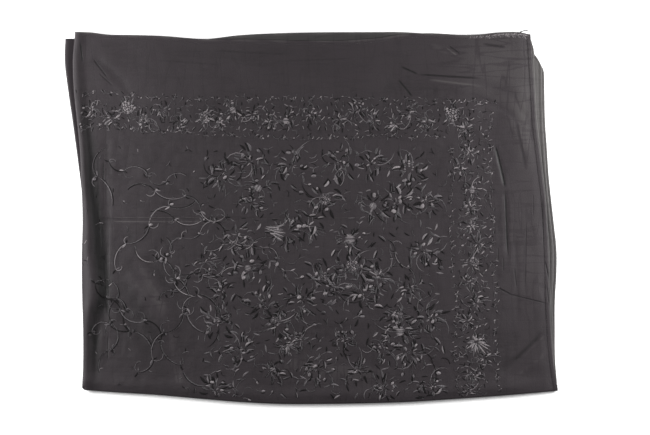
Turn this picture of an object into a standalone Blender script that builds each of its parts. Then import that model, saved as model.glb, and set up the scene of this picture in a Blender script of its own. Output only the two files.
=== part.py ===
"""Black silk manila shawl, folded in four and lying flat, with its embroidered front ply up.

The panel is folded once at the left and once at the bottom. The front ply is a thin wall: it
lies flat, rolls round the left fold to its lip and rolls round the bottom fold to the floor.
Under it the hidden plies are one solid with a flat underside, and each ply's edge steps out
along the right and the top. The fold of the rear pair of plies peeks out at the left.

Lengths in the tables are in millimetres: x to the right, y up the shawl, z off the floor.
"""
import bpy
import numpy as np

MM = 0.001

# Cloth.
PLY = 1.2
GAP = 0.3
HEM_WIDTH = 6.0
HEM_RISE = 0.45

# Heights of the stack.
FLAT_TOP = 6.0
FOLD_SWELL = 3.6
BOTTOM_SWELL = 1.8
EDGE_LIFT = 0.5
LIP_HEIGHT = 3.2
REAR_PLATEAU = 2.75
REAR_FOLD_ENDS = (-206.0, 267.3)

# Rolls round the two folds.
ROLL_REACH = 3.0
CORNER_RADIUS = 3.0
LIP_RUN = 6.0
CORNER_RUN = 1.1
ROLL_STEPS = 7

# Corners of the folded shawl: y of the bottom left one, x of the bottom right, top left and top
# right ones.
LOW_CORNER_Y = -259.6
LOW_CORNER_X = 368.5
TOP_CORNERS_X = (-351.0, 328.9)

# The table's outline moved so that the whole shawl is centred on the origin.
SHIFT_Y = 1.7

# y, then x of the right edge of the first to the fourth ply.
RIGHT_EDGES = np.array([
    (-258.0, 370.0, 369.7, 368.8, 370.0),
    (-240.0, 366.6, 366.6, 366.3, 368.4),
    (-214.5, 363.0, 363.8, 364.5, 366.4),
    (-169.5, 359.3, 360.8, 363.4, 366.0),
    (-124.5, 357.0, 359.3, 362.3, 366.2),
    (-87.0, 356.3, 358.5, 364.2, 368.4),
    (-49.5, 355.5, 357.4, 364.4, 368.6),
    (-12.0, 353.3, 354.8, 361.0, 364.8),
    (25.5, 351.0, 352.5, 357.0, 360.6),
    (63.0, 346.5, 348.6, 353.3, 356.8),
    (100.5, 342.0, 344.3, 351.0, 354.4),
    (145.5, 336.8, 339.0, 348.2, 351.4),
    (190.5, 334.5, 336.4, 347.2, 350.5),
    (235.5, 331.5, 334.5, 346.6, 349.8),
    (246.0, 330.8, 334.9, 346.6, 349.8),
    (253.5, 330.4, 333.8, 346.6, 349.8),
    (262.0, 329.8, 331.2, 346.6, 349.8),
    (276.0, 329.1, 329.6, 346.6, 349.8),
])

# x, then y of the top edge of the first to the fourth ply.
TOP_EDGES = np.array([
    (-354.0, 277.2, 275.0, 270.0, 268.5),
    (-340.5, 277.1, 275.0, 271.5, 270.0),
    (-328.5, 276.5, 274.4, 271.2, 269.8),
    (-304.5, 273.3, 271.8, 270.4, 269.0),
    (-268.5, 272.7, 271.2, 269.7, 268.2),
    (-226.5, 271.5, 270.0, 268.5, 267.0),
    (-166.5, 267.0, 266.3, 265.5, 264.0),
    (-106.5, 266.3, 272.6, 268.5, 266.4),
    (-46.5, 264.8, 275.6, 270.0, 268.0),
    (13.5, 264.0, 276.8, 271.5, 269.4),
    (58.5, 264.8, 277.0, 271.5, 269.4),
    (103.5, 268.5, 277.1, 271.5, 269.4),
    (133.5, 273.0, 277.2, 270.0, 268.0),
    (178.5, 275.3, 274.5, 268.5, 265.5),
    (223.5, 273.0, 271.5, 265.5, 262.5),
    (253.5, 273.7, 272.0, 263.0, 259.4),
    (283.5, 276.8, 273.0, 259.5, 255.6),
    (313.5, 276.7, 270.5, 255.6, 251.6),
    (328.5, 274.0, 266.6, 251.5, 247.6),
    (334.5, 274.0, 266.6, 246.0, 242.6),
    (343.5, 274.0, 266.6, 232.6, 230.6),
    (350.5, 274.0, 266.6, 222.6, 221.6),
])

# y, then x of the left fold of the front pair and of the rear pair of plies.
LEFT_FOLDS = np.array([
    (-260.0, -343.4, -340.8),
    (-222.0, -341.6, -339.1),
    (-169.5, -341.6, -339.1),
    (-124.5, -343.0, -340.6),
    (-64.5, -343.7, -341.4),
    (-4.5, -342.4, -340.8),
    (40.5, -343.7, -344.5),
    (100.5, -346.5, -352.0),
    (145.5, -351.0, -358.1),
    (190.5, -355.5, -364.6),
    (235.5, -357.0, -369.6),
    (271.5, -354.0, -368.4),
])

# x, then y of the bottom fold.
BOTTOM_FOLD = np.array([
    (-340.5, -259.6),
    (-304.5, -262.4),
    (-232.5, -266.9),
    (-160.5, -273.2),
    (-106.5, -277.6),
    (-46.5, -280.5),
    (13.5, -280.6),
    (73.5, -279.8),
    (145.5, -277.6),
    (217.5, -273.0),
    (289.5, -267.8),
    (325.5, -264.8),
    (370.0, -260.8),
])

# Creases: start x and y, end x and y, sideways bow, half width, height (a trough is negative).
CREASES = np.array([
    (-343.0, -3.0, -60.0, -3.0, 2.0, 7.0, -0.9),
    (-60.0, -3.0, 250.0, 2.0, -2.0, 8.0, -0.5),
    (-315.0, 150.0, -318.0, -150.0, 3.0, 9.0, -1.5),
    (-318.0, -140.0, -330.0, -232.0, -3.0, 9.0, -1.2),
    (-326.0, 238.0, -272.0, 192.0, 3.0, 9.0, -1.0),
    (105.0, 198.0, 226.0, 184.0, 4.0, 10.0, -0.9),
    (220.0, 184.0, 316.0, 140.0, 9.0, 9.0, -1.0),
    (262.0, 136.0, 296.0, -30.0, 8.0, 8.0, -1.2),
    (280.0, 164.0, 318.0, 98.0, 3.0, 12.0, 1.5),
    (276.0, -238.0, 352.0, -166.0, -4.0, 10.0, -1.1),
    (-276.0, -88.0, -204.0, -176.0, 6.0, 15.0, 1.0),
    (-60.0, -212.0, 120.0, -236.0, -6.0, 14.0, 0.7),
    (300.0, -20.0, 302.0, -168.0, 2.0, 9.0, 0.7),
])

# Soft swells: x, y, spread along x, spread along y, height.
SWELLS = np.array([
    (-150.0, 125.0, 90.0, 55.0, 0.9),
    (70.0, -70.0, 120.0, 80.0, 1.0),
    (235.0, 225.0, 80.0, 30.0, 0.6),
    (-245.0, -150.0, 55.0, 75.0, 0.7),
    (180.0, 90.0, 70.0, 60.0, 0.6),
    (-40.0, 235.0, 110.0, 25.0, 0.5),
    (60.0, 262.0, 55.0, 16.0, 0.9),
])

# Grid lines of the front ply: distances in from the left, the right, the bottom and the top.
FROM_LEFT = [3, 7, 12, 18, 24, 30, 37, 46, 58, 74, 92, 112]
FROM_RIGHT = [84, 76, 68, 58, 48, 38, 28, 22, 17, 12, 8, 6, 1.2, 0]
COLUMN_PITCH = 26.5
FROM_BOTTOM = [3, 8, 14, 22, 34, 50, 68]
FROM_TOP = [92, 72, 54, 40, 28, 18, 8, 6, 1.2, 0]
ROW_PITCH = 22.0
PRESSED_ROWS = [-9.0, 0.0, 9.0]

# Distances in from the outline at which the hidden plies start.
HIDDEN_LEFT = 12
HIDDEN_BOTTOM = 8
HIDDEN_RIGHT = 8
HIDDEN_TOP = 8

# Hidden plies, ring by ring down the side: share of the stack's height, which ply's edge the
# ring follows (a groove lies inside the two edges next to it), inset at the left and bottom.
RINGS = [
    (1.00, 1, 0.0, 11.7, 6.2),
    (0.74, 1, 0.0, 11.4, 5.0),
    (0.69, 2, 4.0, 11.3, 4.8),
    (0.64, 2, 0.0, 11.3, 4.8),
    (0.38, 2, 0.0, 11.4, 5.4),
    (0.33, 3, 4.5, 11.5, 10.4),
    (0.28, 3, 0.0, 11.6, 10.8),
    (0.00, 3, 0.0, 11.8, 11.2),
]
LOWER_CORNER_RADIUS = 8.0
UPPER_CORNER_RADIUS = 4.0


def soft(table, column, at):
    """Smooth curve through a table's points: cubic pieces with slopes from the neighbours."""
    xs = table[:, 0]
    ys = table[:, column]
    steps = np.diff(ys) / np.diff(xs)
    slopes = np.concatenate(([steps[0]], 0.5 * (steps[:-1] + steps[1:]), [steps[-1]]))
    at = np.clip(np.asarray(at, dtype=float), xs[0], xs[-1])
    k = np.clip(np.searchsorted(xs, at) - 1, 0, len(xs) - 2)
    span = xs[k + 1] - xs[k]
    t = (at - xs[k]) / span
    return ((1 + 2 * t) * (1 - t) ** 2 * ys[k] + t * (1 - t) ** 2 * span * slopes[k]
            + t * t * (3 - 2 * t) * ys[k + 1] + t * t * (t - 1) * span * slopes[k + 1])


def ease(t):
    """0 below 0, 1 above 1, smooth between."""
    t = np.clip(t, 0.0, 1.0)
    return t * t * (3 - 2 * t)


def left_edge(y):
    return soft(LEFT_FOLDS, 1, y)


def rear_edge(y):
    return soft(LEFT_FOLDS, 2, y)


def right_edge(y, ply=0):
    return soft(RIGHT_EDGES, 1 + ply, y)


def top_edge(x, ply=0):
    return soft(TOP_EDGES, 1 + ply, x)


def bottom_edge(x):
    return soft(BOTTOM_FOLD, 1, x)


def crease_heights(x, y):
    """Soft troughs and ridges, each tapered along its length."""
    total = np.zeros_like(x)
    for x1, y1, x2, y2, bow, width, height in CREASES:
        length = np.hypot(x2 - x1, y2 - y1)
        ax, ay = (x2 - x1) / length, (y2 - y1) / length
        along = ((x - x1) * ax + (y - y1) * ay) / length
        across = (y - y1) * ax - (x - x1) * ay
        across = across - bow * 4 * np.clip(along, 0, 1) * (1 - np.clip(along, 0, 1))
        taper = ease((along + 0.05) / 0.25) * ease((1.05 - along) / 0.25)
        total += height * taper * np.exp(-(across / width) ** 2)
    return total


def top_height(x, y):
    """Height of the front ply's outer side above the floor."""
    in_left = x - left_edge(y)
    in_right = right_edge(y) - x
    in_top = top_edge(x) - y
    in_bottom = y - bottom_edge(x)
    free = np.minimum(in_right, in_top)
    height = np.full_like(x, FLAT_TOP)
    height += FOLD_SWELL * np.exp(-((in_left - 12.0) / 9.0) ** 2)
    height += BOTTOM_SWELL * np.exp(-((in_bottom - 13.0) / 11.0) ** 2) * ease(in_right / 60.0)
    height += EDGE_LIFT * np.exp(-(free / 9.0) ** 2)
    calm = (0.3 + 0.7 * ease((in_left - 4.0) / 14.0)) * ease((in_bottom - 2.0) / 12.0)
    height += crease_heights(x, y) * ease((free - 8.0) / 16.0) * calm
    for sx, sy, wide, deep, rise in SWELLS:
        height += rise * np.exp(-((x - sx) / wide) ** 2 - ((y - sy) / deep) ** 2)
    return height


def front_lines():
    """Column and row lines of the front ply as shares of its width and height."""
    wide = 700.0
    columns = list(FROM_LEFT)
    last = wide - FROM_RIGHT[0]
    count = int(round((last - columns[-1]) / COLUMN_PITCH))
    columns += list(np.linspace(columns[-1], last, count + 1)[1:-1])
    columns += [wide - d for d in FROM_RIGHT]
    high = 545.0
    pressed = 262.0
    rows = list(FROM_BOTTOM)
    low, up = pressed + PRESSED_ROWS[0], pressed + PRESSED_ROWS[-1]
    count = int(round((low - rows[-1]) / ROW_PITCH))
    rows += list(np.linspace(rows[-1], low, count + 1)[1:-1])
    rows += [pressed + d for d in PRESSED_ROWS]
    last = high - FROM_TOP[0]
    count = int(round((last - up) / ROW_PITCH))
    rows += list(np.linspace(up, last, count + 1)[1:-1])
    rows += [high - d for d in FROM_TOP]
    columns, rows = np.array(columns), np.array(rows)
    u = (columns - columns[0]) / (wide - columns[0])
    v = (rows - rows[0]) / (high - rows[0])
    return columns, rows, u, v


def patch(u, v):
    """Plan of the front ply inside the rolls: a four-sided patch between its edge curves."""
    corner_y = LOW_CORNER_Y + ROLL_REACH
    corner_x = float(left_edge(corner_y)) + ROLL_REACH
    right_y = float(bottom_edge(LOW_CORNER_X)) + ROLL_REACH
    left_top, right_top = (float(top_edge(x)) for x in TOP_CORNERS_X)
    u, v = u[:, None], v[None, :]
    left_y = corner_y + (left_top - corner_y) * v
    left = np.stack(np.broadcast_arrays(left_edge(left_y) + ROLL_REACH, left_y), -1)
    right_ys = right_y + (right_top - right_y) * v
    right = np.stack(np.broadcast_arrays(right_edge(right_ys), right_ys), -1)
    low_x = corner_x + (right[0, 0, 0] - corner_x) * u
    low = np.stack(np.broadcast_arrays(bottom_edge(low_x) + ROLL_REACH, low_x), -1)[..., ::-1]
    high_x = left[0, -1, 0] + (right[0, -1, 0] - left[0, -1, 0]) * u
    high = np.stack(np.broadcast_arrays(top_edge(high_x), high_x), -1)[..., ::-1]
    u, v = u[..., None], v[..., None]
    corners = ((1 - u) * (1 - v) * low[0, 0] + u * (1 - v) * low[-1, 0]
               + (1 - u) * v * high[0, 0] + u * v * high[-1, 0])
    return (1 - u) * left + u * right + (1 - v) * low + v * high - corners


def front_surface():
    """Outer side of the front ply as an index grid, with the rolls as its first lines."""
    columns, rows, u, v = front_lines()
    plan = patch(u, v)
    rings = ROLL_STEPS + 1
    ni, nj = len(u) + rings, len(v) + rings
    points = np.zeros((ni, nj, 3))
    heights = top_height(plan[..., 0], plan[..., 1])
    points[rings:, rings:, :2] = plan
    points[rings:, rings:, 2] = heights
    tuck = CORNER_RADIUS * (1 - np.sqrt(0.5))
    centre = plan[0, 0] + CORNER_RADIUS
    points[rings, rings, :2] += tuck
    for k in range(1, rings + 1):
        turn = np.radians(90 + 180.0 * min(k, ROLL_STEPS) / ROLL_STEPS)
        reach = -ROLL_REACH * np.cos(turn)
        share = 0.5 * (1 + np.sin(turn))
        away_left = plan[0, 1:, 1] - centre[1]
        away_low = plan[1:, 0, 0] - centre[0]
        run_left = run_low = run_corner = 0.0
        if k > ROLL_STEPS:
            reach = 0.0
            run_corner = CORNER_RUN
            run_left = CORNER_RUN + (LIP_RUN - CORNER_RUN) * ease(away_left / 24.0)
            run_low = CORNER_RUN + (LIP_RUN - CORNER_RUN) * ease(away_low / 24.0)
        low_left = LIP_HEIGHT * ease((away_left - 10.0) / 30.0)
        index = rings - k
        points[index, rings + 1:, 0] = plan[0, 1:, 0] - reach + run_left
        points[index, rings + 1:, 1] = plan[0, 1:, 1]
        points[index, rings + 1:, 2] = low_left + (heights[0, 1:] - low_left) * share
        points[rings + 1:, index, 0] = plan[1:, 0, 0]
        points[rings + 1:, index, 1] = plan[1:, 0, 1] - reach + run_low
        points[rings + 1:, index, 2] = heights[1:, 0] * share
        spokes = np.arange(index, rings + 1)
        radius = CORNER_RADIUS + reach - run_corner
        swing = np.radians(45.0) * (spokes - index) / (k + 1)
        for angle, place in ((np.radians(225.0) - swing, (index, spokes)),
                             (np.radians(225.0) + swing, (spokes, index))):
            points[place[0], place[1], 0] = centre[0] + radius * np.cos(angle)
            points[place[0], place[1], 1] = centre[1] + radius * np.sin(angle)
            points[place[0], place[1], 2] = heights[0, 0] * share
    return points, rings, columns, rows


def grid_normals(points):
    """Unit normals of an index grid from the diagonals of its cells."""
    cells = np.cross(points[1:, 1:] - points[:-1, :-1], points[:-1, 1:] - points[1:, :-1])
    normals = np.zeros_like(points)
    normals[1:, 1:] += cells
    normals[:-1, 1:] += cells
    normals[1:, :-1] += cells
    normals[:-1, :-1] += cells
    return normals / np.linalg.norm(normals, axis=-1, keepdims=True)


def cell_splits(points):
    """Which diagonal of each cell runs more level, so that creases stay crisp."""
    height = points[..., 2]
    first = np.abs(height[1:, 1:] - height[:-1, :-1])
    second = np.abs(height[1:, :-1] - height[:-1, 1:])
    return first <= second


def grid_cells(splits, start=0, flip=False):
    """Three-cornered faces of an index grid whose points are stored row after row."""
    ni, nj = splits.shape
    i, j = np.meshgrid(np.arange(ni), np.arange(nj), indexing="ij")
    a = start + i * (nj + 1) + j
    b, c, d = a + nj + 1, a + nj + 2, a + 1
    pick = splits[..., None]
    one = np.where(pick, np.stack((a, b, c), -1), np.stack((a, b, d), -1))
    two = np.where(pick, np.stack((a, c, d), -1), np.stack((b, c, d), -1))
    faces = np.concatenate((one.reshape(-1, 3), two.reshape(-1, 3)))
    if flip:
        faces = faces[:, ::-1]
    return faces.tolist()


def border(ni, nj):
    """Indices round the border of an index grid, counter-clockwise."""
    low = [i * nj for i in range(ni)]
    right = [(ni - 1) * nj + j for j in range(1, nj)]
    top = [i * nj + nj - 1 for i in range(ni - 2, -1, -1)]
    left = [j for j in range(nj - 2, 0, -1)]
    return low + right + top + left


def add_solid(name, points, faces, material, collection):
    """Mesh object from points in millimetres."""
    moved = points.reshape(-1, 3).copy()
    moved[:, 1] += SHIFT_Y
    mesh = bpy.data.meshes.new(name)
    mesh.from_pydata((moved * MM).tolist(), [], faces)
    mesh.materials.append(material)
    thing = bpy.data.objects.new(name, mesh)
    collection.objects.link(thing)
    return thing


def add_ply(name, points, splits, material, collection):
    """One ply of cloth: an open surface given its thickness on the inner side."""
    thing = add_solid(name, points, grid_cells(splits), material, collection)
    wall = thing.modifiers.new("ply thickness", "SOLIDIFY")
    wall.thickness = PLY * MM
    wall.offset = -1.0
    wall.use_rim = True
    return thing


def cloth(name, colour, roughness):
    """Cloth colour for a solid."""
    material = bpy.data.materials.new(name)
    material.use_nodes = True
    shader = material.node_tree.nodes["Principled BSDF"]
    shader.inputs["Base Color"].default_value = (*colour, 1.0)
    shader.inputs["Roughness"].default_value = roughness
    shader.inputs["Metallic"].default_value = 0.0
    material.diffuse_color = (*colour, 1.0)
    return material


def build_front(collection, material):
    """Front ply: a wall one ply thick with a raised hem along the right and the top."""
    points, rings, columns, rows = front_surface()
    normals = grid_normals(points)
    in_right = 700.0 - columns
    in_top = 545.0 - rows
    near_right = (in_right < HEM_WIDTH + 0.1) & (in_right > 0.5)
    near_top = (in_top < HEM_WIDTH + 0.1) & (in_top > 0.5)
    raised = np.zeros(points.shape[:2])
    raised[rings:, rings:][near_right, :] = HEM_RISE
    raised[rings:, rings:][:, near_top] = HEM_RISE
    raised[rings:, rings:][:, -1] *= 0.4
    splits = cell_splits(points)
    corner = np.arange(rings)
    splits[corner, corner] = True
    add_ply("front_ply", points + raised[..., None] * normals, splits, material, collection)
    return points, normals, splits, rings, columns, rows


def round_corner(side, near, start, corner, end):
    """The last stretch of a side, bent to the middle of the curve that cuts off its corner."""
    t = 0.5 * np.clip(near, 0, 1)[:, None]
    curve = (1 - t) ** 2 * start + 2 * t * (1 - t) * corner + t * t * end
    return np.where(t > 0, curve, side)


def ring_outline(fractions, left, right, low, high, radius):
    """Plan of one ring: four sides met at their corners, the top right one rounded."""
    corners = []
    for side, level in ((left, low), (right, low), (right, high), (left, high)):
        x, y = (-300.0, 0.0) if side is left else (340.0, 0.0)
        for _ in range(30):
            y = float(level(x))
            x = float(side(y))
        corners.append((x, y))
    bl, br, tr, tl = corners
    f_low, f_right, f_top, f_left = fractions
    below = np.array((float(right(tr[1] - radius)), tr[1] - radius))
    beside = np.array((tr[0] - radius, float(high(tr[0] - radius))))
    parts = []
    x = bl[0] + (br[0] - bl[0]) * f_low
    parts.append(np.stack((x, low(x)), -1))
    y = br[1] + (tr[1] - br[1]) * f_right
    x = right(y)
    side = np.stack((x, y), -1)
    parts.append(round_corner(side, 1 - (tr[1] - y) / radius, below, tr, beside))
    x = tr[0] + (tl[0] - tr[0]) * f_top
    side = np.stack((x, high(x)), -1)
    parts.append(round_corner(side, 1 - (tr[0] - x) / radius, beside, tr, below))
    y = tl[1] + (bl[1] - tl[1]) * f_left
    parts.append(np.stack((left(y), y), -1))
    return np.concatenate(parts)


def build_hidden(collection, material, points, normals, splits, rings, columns, rows):
    """Hidden plies as one solid: its top follows the front ply, its sides step out ply by ply."""
    i0 = rings + int(np.argmin(np.abs(columns - HIDDEN_LEFT)))
    i1 = rings + int(np.argmin(np.abs(700.0 - columns - HIDDEN_RIGHT)))
    j0 = rings + int(np.argmin(np.abs(rows - HIDDEN_BOTTOM)))
    j1 = rings + int(np.argmin(np.abs(545.0 - rows - HIDDEN_TOP)))
    top = (points - (PLY + GAP) * normals)[i0:i1 + 1, j0:j1 + 1]
    ni, nj = top.shape[:2]
    flat = top.reshape(-1, 3)
    loop = border(ni, nj)
    edge = flat[loop]

    def share(values):
        return (values - values[0]) / (values[-1] - values[0])

    f_low = share(top[:, 0, 0])[:-1]
    f_right = share(top[-1, :, 1])[:-1]
    f_top = share(top[::-1, -1, 0])[:-1]
    f_left = share(top[0, ::-1, 1])[:-1]
    fractions = (f_low, f_right, f_top, f_left)
    all_points = [flat]
    previous = list(loop)
    faces = grid_cells(splits[i0:i1, j0:j1])
    start = len(flat)
    for level, ply, groove, in_left, in_bottom in RINGS:
        def left(y, inset=in_left):
            return left_edge(y) + inset

        def low(x, inset=in_bottom):
            return bottom_edge(x) + inset

        def right(y, ply=ply, groove=groove):
            x = right_edge(y, ply)
            if groove:
                x = np.minimum(x, right_edge(y, ply - 1)) - groove
            return x

        def high(x, ply=ply, groove=groove):
            y = top_edge(x, ply)
            if groove:
                y = np.minimum(y, top_edge(x, ply - 1)) - groove
            return y

        radius = UPPER_CORNER_RADIUS if ply == 1 else LOWER_CORNER_RADIUS
        outline = ring_outline(fractions, left, right, low, high, radius)
        height = level * edge[:, 2] - (0.15 if level == 1.0 else 0.0)
        if level == 0.0:
            height = np.zeros(len(edge))
        all_points.append(np.column_stack((outline, height)))
        current = list(range(start, start + len(loop)))
        start += len(loop)
        for k in range(len(loop)):
            n = (k + 1) % len(loop)
            faces.append([previous[n], previous[k], current[k], current[n]])
        previous = current
    faces.append(previous[::-1])
    add_solid("folded_plies", np.concatenate(all_points), faces, material, collection)


def build_rear_fold(collection, material):
    """Fold of the rear pair of plies: a narrow rolled wall along the left side."""
    low_y, high_y = REAR_FOLD_ENDS
    y = np.concatenate((np.linspace(low_y, -30.0, 8), np.linspace(0.0, high_y - 9.0, 16), [high_y]))
    out = left_edge(y) - rear_edge(y)
    radius = 1.4 + 1.1 * ease(out / 12.0)
    base = rear_edge(y)
    inner_end = out + 9.5
    plateau = np.maximum(out, 0.0) + 3.6
    columns = [
        (inner_end, np.full_like(y, REAR_PLATEAU)),
        (plateau, np.full_like(y, REAR_PLATEAU)),
        (0.5 * (plateau + radius), REAR_PLATEAU + 0.62 * (2 * radius - REAR_PLATEAU)),
    ]
    for angle in np.radians([90, 120, 150, 180, 210, 240, 270]):
        columns.append((radius * (1 + np.cos(angle)), radius * (1 + np.sin(angle))))
    columns.append((inner_end, np.zeros_like(y)))
    outer = np.zeros((len(columns), len(y), 3))
    for k, (inset, height) in enumerate(columns):
        outer[k, :, 0] = base + inset
        outer[k, :, 1] = y
        outer[k, :, 2] = height
    outer = outer[::-1]
    add_ply("rear_fold", outer, cell_splits(outer), material, collection)


def main():
    for thing in list(bpy.data.objects):
        bpy.data.objects.remove(thing, do_unlink=True)
    collection = bpy.data.collections.new("manila_shawl")
    bpy.context.scene.collection.children.link(collection)
    front = cloth("black_embroidered_silk", (0.052, 0.045, 0.049), 0.55)
    hidden = cloth("black_silk_crepe", (0.040, 0.035, 0.038), 0.65)
    surface = build_front(collection, front)
    build_hidden(collection, hidden, *surface)
    build_rear_fold(collection, hidden)


main()
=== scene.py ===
"""Black silk manila shawl, folded in four and lying flat, embroidered in black floss silk.

Each visible ply is a thin shell worked out on a grid between its four edges, and the embroidery
is raised satin stitch: every petal, leaf, berry and stem is a small domed pad of thread that
follows the cloth. Lengths in the tables are millimetres: x to the right, y up the shawl.
"""

import bpy
import numpy as np
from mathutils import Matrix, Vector


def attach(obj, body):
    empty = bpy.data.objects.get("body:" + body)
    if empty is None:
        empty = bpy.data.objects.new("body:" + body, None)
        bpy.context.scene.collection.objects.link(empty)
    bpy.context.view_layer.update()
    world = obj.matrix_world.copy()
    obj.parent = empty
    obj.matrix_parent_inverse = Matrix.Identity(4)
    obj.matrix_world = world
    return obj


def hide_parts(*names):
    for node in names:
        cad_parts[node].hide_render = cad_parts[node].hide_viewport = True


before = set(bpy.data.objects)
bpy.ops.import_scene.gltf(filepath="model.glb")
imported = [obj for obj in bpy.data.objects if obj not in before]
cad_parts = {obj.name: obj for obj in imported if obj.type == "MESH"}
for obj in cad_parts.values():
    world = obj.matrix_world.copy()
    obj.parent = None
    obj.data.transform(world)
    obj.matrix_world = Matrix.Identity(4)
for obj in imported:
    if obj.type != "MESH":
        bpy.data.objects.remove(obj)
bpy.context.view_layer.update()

MM = 0.001

# What the y of the tables is moved by, which puts the shawl's middle at the origin.
SHIFT_Y = 1.7

# A pixel of the photo in millimetres, and the column and row of the tables' zero.
PIXEL = 1.5
ZERO_COLUMN = 311.0
ZERO_ROW = 217.0

# Nominal width and depth of the folded shawl.
WIDTH = 700.0
DEPTH = 545.0

# Outline of the folded cloth

# y, then x of the right edge of the first to the fourth ply.
RIGHT_EDGES = np.array([
    (-258, 370, 369.7, 368.8, 370),
    (-240, 366.6, 366.6, 366.3, 368.4),
    (-214.5, 363, 363.8, 364.5, 366.4),
    (-169.5, 359.3, 360.8, 363.4, 366),
    (-124.5, 357, 359.3, 362.3, 366.2),
    (-87, 356.3, 358.5, 364.2, 368.4),
    (-49.5, 355.5, 357.4, 364.4, 368.6),
    (-12, 353.3, 354.8, 361, 364.8),
    (25.5, 351, 352.5, 357, 360.6),
    (63, 346.5, 348.6, 353.3, 356.8),
    (100.5, 342, 344.3, 351, 354.4),
    (145.5, 336.8, 339, 348.2, 351.4),
    (190.5, 334.5, 336.4, 347.2, 350.5),
    (235.5, 331.5, 334.5, 346.6, 349.8),
    (246, 330.8, 334.9, 346.6, 349.8),
    (253.5, 330.4, 333.8, 346.6, 349.8),
    (262, 329.8, 331.2, 346.6, 349.8),
    (276, 329.1, 329.6, 346.6, 349.8),
])

# x, then y of the top edge of the first to the fourth ply.
TOP_EDGES = np.array([
    (-354, 277.2, 275, 270, 268.5),
    (-340.5, 277.1, 275, 271.5, 270),
    (-328.5, 276.5, 274.4, 271.2, 269.8),
    (-304.5, 273.3, 271.8, 270.4, 269),
    (-268.5, 272.7, 271.2, 269.7, 268.2),
    (-226.5, 271.5, 270, 268.5, 267),
    (-166.5, 267, 266.3, 265.5, 264),
    (-106.5, 266.3, 272.6, 268.5, 266.4),
    (-46.5, 264.8, 275.6, 270, 268),
    (13.5, 264, 276.8, 271.5, 269.4),
    (58.5, 264.8, 277, 271.5, 269.4),
    (103.5, 268.5, 277.1, 271.5, 269.4),
    (133.5, 273, 277.2, 270, 268),
    (178.5, 275.3, 274.5, 268.5, 265.5),
    (223.5, 273, 271.5, 265.5, 262.5),
    (253.5, 273.7, 272, 263, 259.4),
    (283.5, 276.8, 273, 259.5, 255.6),
    (313.5, 276.7, 270.5, 255.6, 251.6),
    (328.5, 274, 266.6, 251.5, 247.6),
    (334.5, 274, 266.6, 246, 242.6),
    (343.5, 274, 266.6, 232.6, 230.6),
    (350.5, 274, 266.6, 222.6, 221.6),
])

# y, then x of the left fold of the front pair and of the rear pair of plies.
LEFT_FOLDS = np.array([
    (-260, -343.4, -340.8),
    (-222, -341.6, -339.1),
    (-169.5, -341.6, -339.1),
    (-124.5, -343, -340.6),
    (-64.5, -343.7, -341.4),
    (-4.5, -342.4, -340.8),
    (40.5, -343.7, -344.5),
    (100.5, -346.5, -352),
    (145.5, -351, -358.1),
    (190.5, -355.5, -364.6),
    (235.5, -357, -369.6),
    (271.5, -354, -368.4),
])

# x, then y of the bottom fold.
BOTTOM_FOLD = np.array([
    (-340.5, -259.6),
    (-304.5, -262.4),
    (-232.5, -266.9),
    (-160.5, -273.2),
    (-106.5, -277.6),
    (-46.5, -280.5),
    (13.5, -280.6),
    (73.5, -279.8),
    (145.5, -277.6),
    (217.5, -273),
    (289.5, -267.8),
    (325.5, -264.8),
    (370, -260.8),
])

# Creases: start x and y, end x and y, sideways bow, half width, height (a trough is negative).
CREASES = np.array([
    (-343, -4.3, -60, -4.3, 1, 2.4, -0.8),
    (-343, -0.6, -60, -0.6, 1, 1.9, 0.35),
    (-343, -8.2, -60, -8.2, 1, 1.9, 0.35),
    (-60, -4.3, 250, 1, -2, 2.6, -0.5),
    (-307.5, 150, -308.5, -176, 1, 6, -0.9),
    (-309, -130, -326, -240, -3, 6, -0.9),
    (-308, 106, -309, -262, 0.6, 1.7, -0.75),
    (-303.6, 106, -304.4, -262, 0.6, 1.6, -0.4),
    (-305.8, 106, -306.6, -262, 0.6, 1.5, 0.4),
    (-326, 238, -272, 192, 3, 5, -0.9),
    (-300, 214, -262, 178, -2, 3, -0.5),
    (105, 198, 226, 184, 4, 5, -0.8),
    (220, 184, 316, 140, 9, 4.5, -0.7),
    (119, 214, 136, 188, 2, 2.5, -0.7),
    (178, 258, 204, 246, 1, 3, 0.7),
    (236, 206, 330, 168, 6, 6, -0.35),
    (274, 110, 290, 47, 2, 2, -1.2),
    (270.5, 108, 286, 48, 2, 2.6, 0.35),
    (291.5, 46, 295.5, -66, -1, 2.2, -1),
    (280.5, 40, 283.5, -80, 0.5, 1.8, -0.4),
    (299, 20, 301, -90, -0.5, 1.8, 0.35),
    (284, 166, 322, 100, 3, 9, 0.5),
    (304, 178, 332, 128, 3, 4, -0.5),
    (276, -238, 352, -166, -4, 5, -1.2),
    (296, -246, 358, -196, -3, 4, 0.6),
    (-276, -88, -204, -176, 6, 12, 1.7),
    (-300, -120, -236, -220, 5, 8, -1.1),
    (-252, -60, -190, -130, 4, 10, -1),
    (-60, -212, 120, -236, -6, 12, 0.7),
    (306, -20, 308, -168, 2, 3, -0.5),
    (276, -30, 280, -170, 1, 3, -0.45),
    (-200, 246, -60, 236, 4, 9, -0.6),
    (-20, 222, 90, 232, -4, 8, -0.5),
])

# Soft swells: x, y, spread along x, spread along y, height.
SWELLS = np.array([
    (-150, 125, 90, 55, 0.9),
    (70, -70, 120, 80, 1),
    (235, 225, 80, 30, 0.6),
    (-245, -150, 55, 75, 0.7),
    (180, 90, 70, 60, 0.6),
    (-40, 235, 110, 25, 0.5),
    (60, 262, 55, 16, 0.9),
])

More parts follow.
